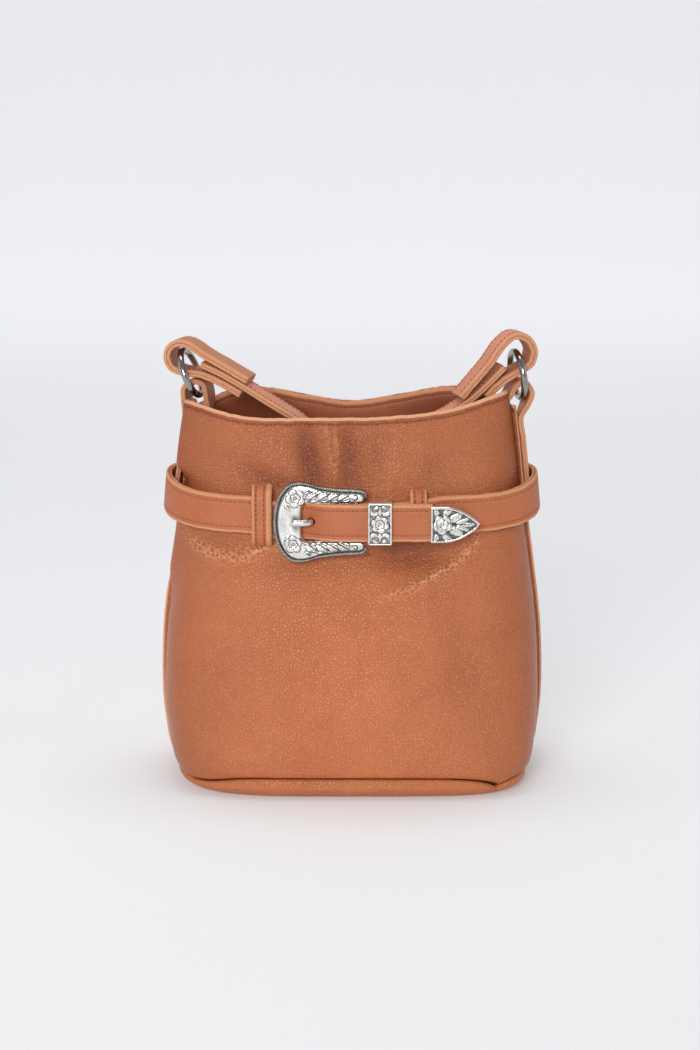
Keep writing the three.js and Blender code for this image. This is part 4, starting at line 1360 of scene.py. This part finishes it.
def belt_tip():
    """A pointed cap on the belt's free end, engraved on its front and hollow for the leather."""
    across = 56
    lean = 0.94 * math.pi / 2
    front_share = np.sin(np.linspace(-lean, lean, across)) / math.sin(lean)
    xs = np.concatenate([np.linspace(0.15, TIP_LENGTH * 0.85, 86),
                         TIP_LENGTH * (1 - 0.15 * np.linspace(1, 0.003, 26)[1:] ** 1.6)])
    half = np.maximum(tip_half_width(xs), 0.05)
    x = np.broadcast_to(xs[:, None], (len(xs), across))
    z = half[:, None] * front_share[None]
    height, dark = tip_face(x, z, half, np.gradient(half, xs))
    depth = 2.35 + 0.35 * (1 - (np.abs(z) / TIP_HALF) ** 2)
    shrink = smoothstep(half, 0, 3.0)[:, None]
    front = -(depth * (0.45 + 0.55 * shrink) + height * shrink)
    back = np.full((len(xs), 15), 2.7) * (0.45 + 0.55 * shrink)
    back_share = np.linspace(0.96, -0.96, 15)
    side_y = np.array([-1.2, 0.4, 1.8])

    def side(sign, depths):
        return [(sign * (half + 0.02), np.full(len(xs), d) * (0.5 + 0.5 * shrink[:, 0])) for d in depths]

    columns = [(z[:, k], front[:, k]) for k in range(across)]
    columns += side(1, side_y)
    columns += [(half * back_share[k], back[:, k]) for k in range(15)]
    columns += side(-1, side_y[::-1])
    outer = np.stack([np.column_stack([xs, y, z_place]) for z_place, y in columns], axis=1)
    # Painted shade on the tip's sides and back.
    shade = np.full(outer.shape[:2], 0.25)
    shade[:, :across] = dark
    flat = outer[0, :, 1:]
    room = TIP_POCKET / np.maximum(np.abs(flat), 1e-6)
    pocket = flat * np.minimum(1, np.min(room, axis=1, keepdims=True))
    mouth = [np.column_stack([np.full(len(pocket), place), pocket]) for place in (9.4, 5.0, 0.3)]
    rings = np.concatenate([np.array(mouth), outer])
    # Painted shade in the pocket's mouth.
    shade = np.concatenate([np.full((3, outer.shape[1]), 0.6), shade])
    start = np.array(in_front(41.5, 9.5), float)
    end = np.array(in_front(50.5, 9.9), float)
    turn = math.atan2(end[1] - start[1], end[0] - start[0])
    x, y = turned(rings[..., 0], rings[..., 1], turn)
    rings[..., 0] = start[0] + x
    rings[..., 1] = start[1] + y
    rings[..., 2] += BUCKLE_Z - TIP_DROP
    metal_piece("belt_tip_cap", rings, "bag", ["belt_tip"], shade)


buckle_frame()
buckle_prong()
prong_eye()
keeper()
belt_tip()
give_material("buckle_crossbar", NICKEL)

# ------------------------------------------------------------------ hangers, rings and shoulder strap

CHAPE_HALF = 2.1
STRAP_LINES = (-6.3, 6.3)     # rows of stitches
TAB_LINES = (-5.7, 5.7)

# Routes in each side's own upright plane: (outwards from the bag's middle, height).
SIDES = {
    "left": {
        "sign": -1, "ring": (88, 225), "lean": math.radians(21),
        "chape": [[54.5, 222.6], [67, 229.5], [79, 236.0], [86.5, 240.8], [92, 242.1], [97.2, 239.9],
                  [99.4, 234.2], [97, 228.6], [91, 226.2], [80, 225.0], [68, 220.2], [58.5, 215.0]],
        "strap": [[80, 230.5], [67.5, 224.9], [56, 218.6], [46, 212.6], [36, 206.8], [28, 202]],
        "fold": [[90.6, 211], [90.4, 217.0], [86.6, 220.7], [80.3, 219.4], [78.4, 213]],
    },
    "right": {
        "sign": 1, "ring": (90.6, 224), "lean": math.radians(-8),
        "chape": [[57.2, 213.2], [65.4, 222.6], [73.6, 232.2], [80.0, 241.0], [86.8, 246.0], [93.8, 244.2],
                  [97.6, 237.8], [96.0, 230.9], [89.0, 226.5], [82.2, 222.6], [75.9, 217.7], [71.4, 213.3]],
        "strap": [[81, 229.0], [75.5, 223.6], [68.5, 216.9], [61, 210.8], [53, 205.6], [45, 201]],
        "fold": [[95.4, 209], [96.8, 215], [92.5, 220.6], [87.9, 217.9], [84.8, 212.6], [79.2, 207.4]],
    },
}

# The strap inside the bag: down from the left of the mouth, to and fro on the floor, up to the right.
STRAP_DOWN = [[-19, -14, 191], [-12, -13, 165], [-9, -8, 110], [-14, -4, 40], [-30, -2, 19],
              [-55, 0, 13], [-76, 0, 14], [-86, 0, 21], [-76, 0, 28], [-50, 0, 28.5], [0, 0, 28]]
STRAP_UP = [[0, 0, 28], [50, 0, 28.5], [76, 0, 29.5], [86, 0, 37], [76, 0, 44.5], [56, 0, 46],
            [36, -4, 54], [24, -8, 90], [22, -13, 150], [28, -14, 180]]


def place(side, pair):
    """A point of a side's plane in the bag's frame: the plane swings about the ring."""
    inward = side["ring"][0] - pair[0]
    return [side["sign"] * (side["ring"][0] - math.cos(STRAP_YAW) * inward),
            -math.sin(STRAP_YAW) * inward, pair[1]]


def width_way(side, turn):
    """The width direction of leather at a side, for an array of turns about Z."""
    return np.column_stack([-side["sign"] * np.sin(turn), np.cos(turn), np.zeros(len(turn))])


def ring(name, side):
    """A round wire ring with a faint weld."""
    around = full_turn(128)
    tube = full_turn(28)
    weld = 1 + 0.02 * hump(around, 4.4, 0.06)
    radius = RING_RADIUS + WIRE_RADIUS * weld[:, None] * np.cos(tube)
    y = radius * np.cos(around)[:, None]
    z = radius * np.sin(around)[:, None]
    x = np.broadcast_to(WIRE_RADIUS * weld[:, None] * np.sin(tube), y.shape)
    lean = side["sign"] * side["lean"]
    x, z = turned(x, z, -lean)
    x, y = turned(x, y, side["sign"] * STRAP_YAW)
    points = np.stack([x + side["sign"] * side["ring"][0], y, z + side["ring"][1]], axis=-1)
    make_mesh(f"{name}_ring_wire", points.reshape(-1, 3), loft_faces(128, 28, closed=True),
              f"{name}_ring", [f"{name}_ring"], "ring_metal", NICKEL)


def chape(name, side):
    """The folded end of the strap round the ring: two layers of leather sewn face to face."""
    path = smooth([place(side, pair) for pair in side["chape"]], 190)
    across = width_way(side, np.full(len(path), STRAP_YAW))
    band(f"{name}_chape_outer", path, across, STRAP_WIDTH, 0.06, CHAPE_HALF, f"{name}_strap",
         [f"{name}_strap_chape"], "strap_leather", STRAP, STRAP_LINES, joined=-1, ragged=0.2)
    band(f"{name}_chape_inner", path, across, STRAP_WIDTH - 0.25, -CHAPE_HALF, -0.06,
         f"{name}_strap", (), "strap_leather", STRAP, flesh=True, joined=1, ragged=0.2)
    runs = [band_stitches(path, across, line, CHAPE_HALF) for line in STRAP_LINES]
    stitches(f"{name}_chape_stitching", runs, f"{name}_strap")


def tab(name, side):
    """The hanger tab: up over the ring's wire from under the belt, and down inside the mouth."""
    half = 1.5
    sign = side["sign"]

    def outside(z):
        narrow = 0.75 * smoothstep(z, 166, 178) if name == "left" else 0.0
        fin = FILLET + (SEAM_FIN - FILLET) * (1 - narrow)
        return [HALF_WIDTH(z) + fin + 0.5 + half, z]

    def inside(z):
        return [HALF_WIDTH(z) - LEATHER - FACING - 0.3 - 4.3 - half, z]

    route = [outside(z) for z in (155, 165, 178, 190, 201)] + side["fold"]
    route += [inside(z) for z in (200, 192, 182)]
    path = smooth([[sign * float(x), 0, z] for x, z in route], 170)
    across = width_way(side, STRAP_YAW * smoothstep(path[:, 2], 200, 213))
    outer_faces = sorted((0.05 * sign, half * sign))
    inner_faces = sorted((-0.05 * sign, -half * sign))
    band(f"{name}_tab_outer", path, across, TAB_WIDTH, *outer_faces, "bag",
         [f"{name}_hanger_tab"], "strap_leather", STRAP, joined=-sign)
    band(f"{name}_tab_inner", path, across, TAB_WIDTH - 0.25, *inner_faces, "bag",
         (), "strap_leather", STRAP, joined=sign)
    runs = []
    for line in TAB_LINES:
        spots, ups = band_stitches(path, across, line, half * sign)
        runs.append((spots, ups * sign))
    stitches(f"{name}_tab_stitching", runs, "bag")


def strap_half(name, side, run, blend_start):
    """Half of the shoulder strap, from the middle of the bag's floor to its chape."""
    end = [place(side, pair) for pair in side["strap"]]
    path = smooth(end + run if name == "left" else run + end[::-1], 330)
    across = width_way(side, STRAP_YAW * smoothstep(path[:, 2], 150, 200))
    half = STRAP_THICK / 2
    nodes = [f"{name}_strap_end"] + (["shoulder_strap"] if name == "left" else [])
    bend = ("bag", f"{name}_strap", [c * MM for c in blend_start], [c * MM for c in end[3]])
    for layer, low, high in (("upper", 0.06, half), ("lower", -half, -0.06)):
        piece = band(f"{name}_strap_{layer}", path, across, STRAP_WIDTH - 0.2, low, high, None,
                     nodes, "strap_leather", STRAP, STRAP_LINES if layer == "upper" else (),
                     joined=-1 if layer == "upper" else 1)
        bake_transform(piece)
        nodes = []
    runs = [band_stitches(path, across, line, half) for line in STRAP_LINES]
    stitches(f"{name}_strap_stitching", runs, None, bend)


for side_name, side_data in SIDES.items():
    ring(side_name, side_data)
    chape(side_name, side_data)
    tab(side_name, side_data)
strap_half("left", SIDES["left"], STRAP_DOWN, (-12, -13, 165))
strap_half("right", SIDES["right"], STRAP_UP, (22, -13, 150))

# ------------------------------------------------------------------ stage, light and camera


def paper_material():
    """Pale paper that glows a little as painted light, more so towards the back, with painted shade on the
    floor in front.
    """
    look = Look("pale_paper")
    paper = look.mix(look.noise(3.0), rgb(243, 244, 246), rgb(245, 246, 248))
    distance = look.node("SeparateXYZ", {0: look.place}, output=1)
    far = look.spread(distance, 0.1, 2.4)
    # Painted shade: the floor is darker towards the front, where the key light falls brighter.
    floor_painted_darker_in_front = look.mix(look.spread(distance, -0.5, -0.1), rgb(206, 207, 209), rgb(224, 225, 227))
    # Painted light: the paper's glow, stronger towards the back.
    look.feed(look.shader, {"Base Color": look.mix(far, floor_painted_darker_in_front, paper), "Emission Color": paper,
                            "Emission Strength": look.spread(far, 0.0, 1.0, 0.155, 0.42),
                            "Roughness": 0.95, "Specular IOR Level": 0.1})
    return look.material


# The paper sweep, in metres.
FLOOR_REACH = 40
FLOOR_END = 2.0
SWEEP_RADIUS = 2.2
WALL_TOP = 20


def stage():
    """A pale floor that curves up into a wall, far enough away to hold no edge in most views."""
    bend = [(FLOOR_END + SWEEP_RADIUS * math.sin(a), SWEEP_RADIUS - SWEEP_RADIUS * math.cos(a))
            for a in np.linspace(0.08, 1.5, 20)]
    line = [(-FLOOR_REACH, 0), (FLOOR_END, 0), *bend, (4.22, WALL_TOP)]
    points = [(x, y, z) for y, z in line for x in (-FLOOR_REACH, FLOOR_REACH)]
    faces = [(2 * i, 2 * i + 1, 2 * i + 3, 2 * i + 2) for i in range(len(line) - 1)]
    mesh = bpy.data.meshes.new("paper_sweep")
    mesh.from_pydata(points, [], faces)
    mesh.materials.append(paper_material())
    mesh.polygons.foreach_set("use_smooth", [True] * len(mesh.polygons))
    sweep = bpy.data.objects.new("paper_sweep", mesh)
    bpy.context.scene.collection.objects.link(sweep)


# Lights, in metres and watts: name, place, size, power, colour.
LIGHTS = [("key_soft_box", (-0.3, -1.65, 0.7), (0.7, 0.5), 19.3, (1.0, 0.985, 0.955)),
          ("right_strip", (1.15, -0.15, 0.4), (0.15, 0.8), 1.0, (1.0, 1.0, 1.0)),
          ("left_strip", (-1.15, -0.05, 0.4), (0.15, 0.8), 1.0, (1.0, 1.0, 1.0)),
          ("top_soft_box", (0.0, 0.1, 1.4), (0.7, 0.7), 5, (1.0, 1.0, 1.0))]
LIT_PLACE = (0, 0, 0.12)
WORLD_COLOUR = (0.97, 0.975, 1.0, 1.0)
WORLD_STRENGTH = 0.32
CAMERA_PLACE = (-0.0011, -1.170, 0.380)
CAMERA_TILT = math.radians(90 - 11.6)
LENS = 73.71


def area_light(name, place, size, power, colour):
    """A rectangular light that looks at the bag."""
    data = bpy.data.lights.new(name, "AREA")
    data.shape = "RECTANGLE"
    data.size, data.size_y = size
    data.energy = power
    data.color = colour
    lamp = bpy.data.objects.new(name, data)
    lamp.location = place
    lamp.rotation_mode = "QUATERNION"
    lamp.rotation_quaternion = Vector(np.array(LIT_PLACE) - np.array(place)).to_track_quat("-Z", "Y")
    bpy.context.scene.collection.objects.link(lamp)


def lighting():
    """A dim even world, a soft key light in front and three fills."""
    world = bpy.data.worlds.new("studio")
    world.use_nodes = True
    world.node_tree.nodes["Background"].inputs["Color"].default_value = WORLD_COLOUR
    world.node_tree.nodes["Background"].inputs["Strength"].default_value = WORLD_STRENGTH
    bpy.context.scene.world = world
    for light in LIGHTS:
        area_light(*light)


def camera():
    """The photo's camera: in front of the bag, looking down at it a little."""
    data = bpy.data.cameras.new("camera")
    data.sensor_fit = "VERTICAL"
    data.sensor_height = 36
    data.lens = LENS
    made = bpy.data.objects.new("camera", data)
    made.location = CAMERA_PLACE
    made.rotation_euler = (CAMERA_TILT, 0, 0)
    bpy.context.scene.collection.objects.link(made)
    bpy.context.scene.camera = made


bpy.context.scene.view_settings.view_transform = "Standard"
stage()
lighting()
camera()
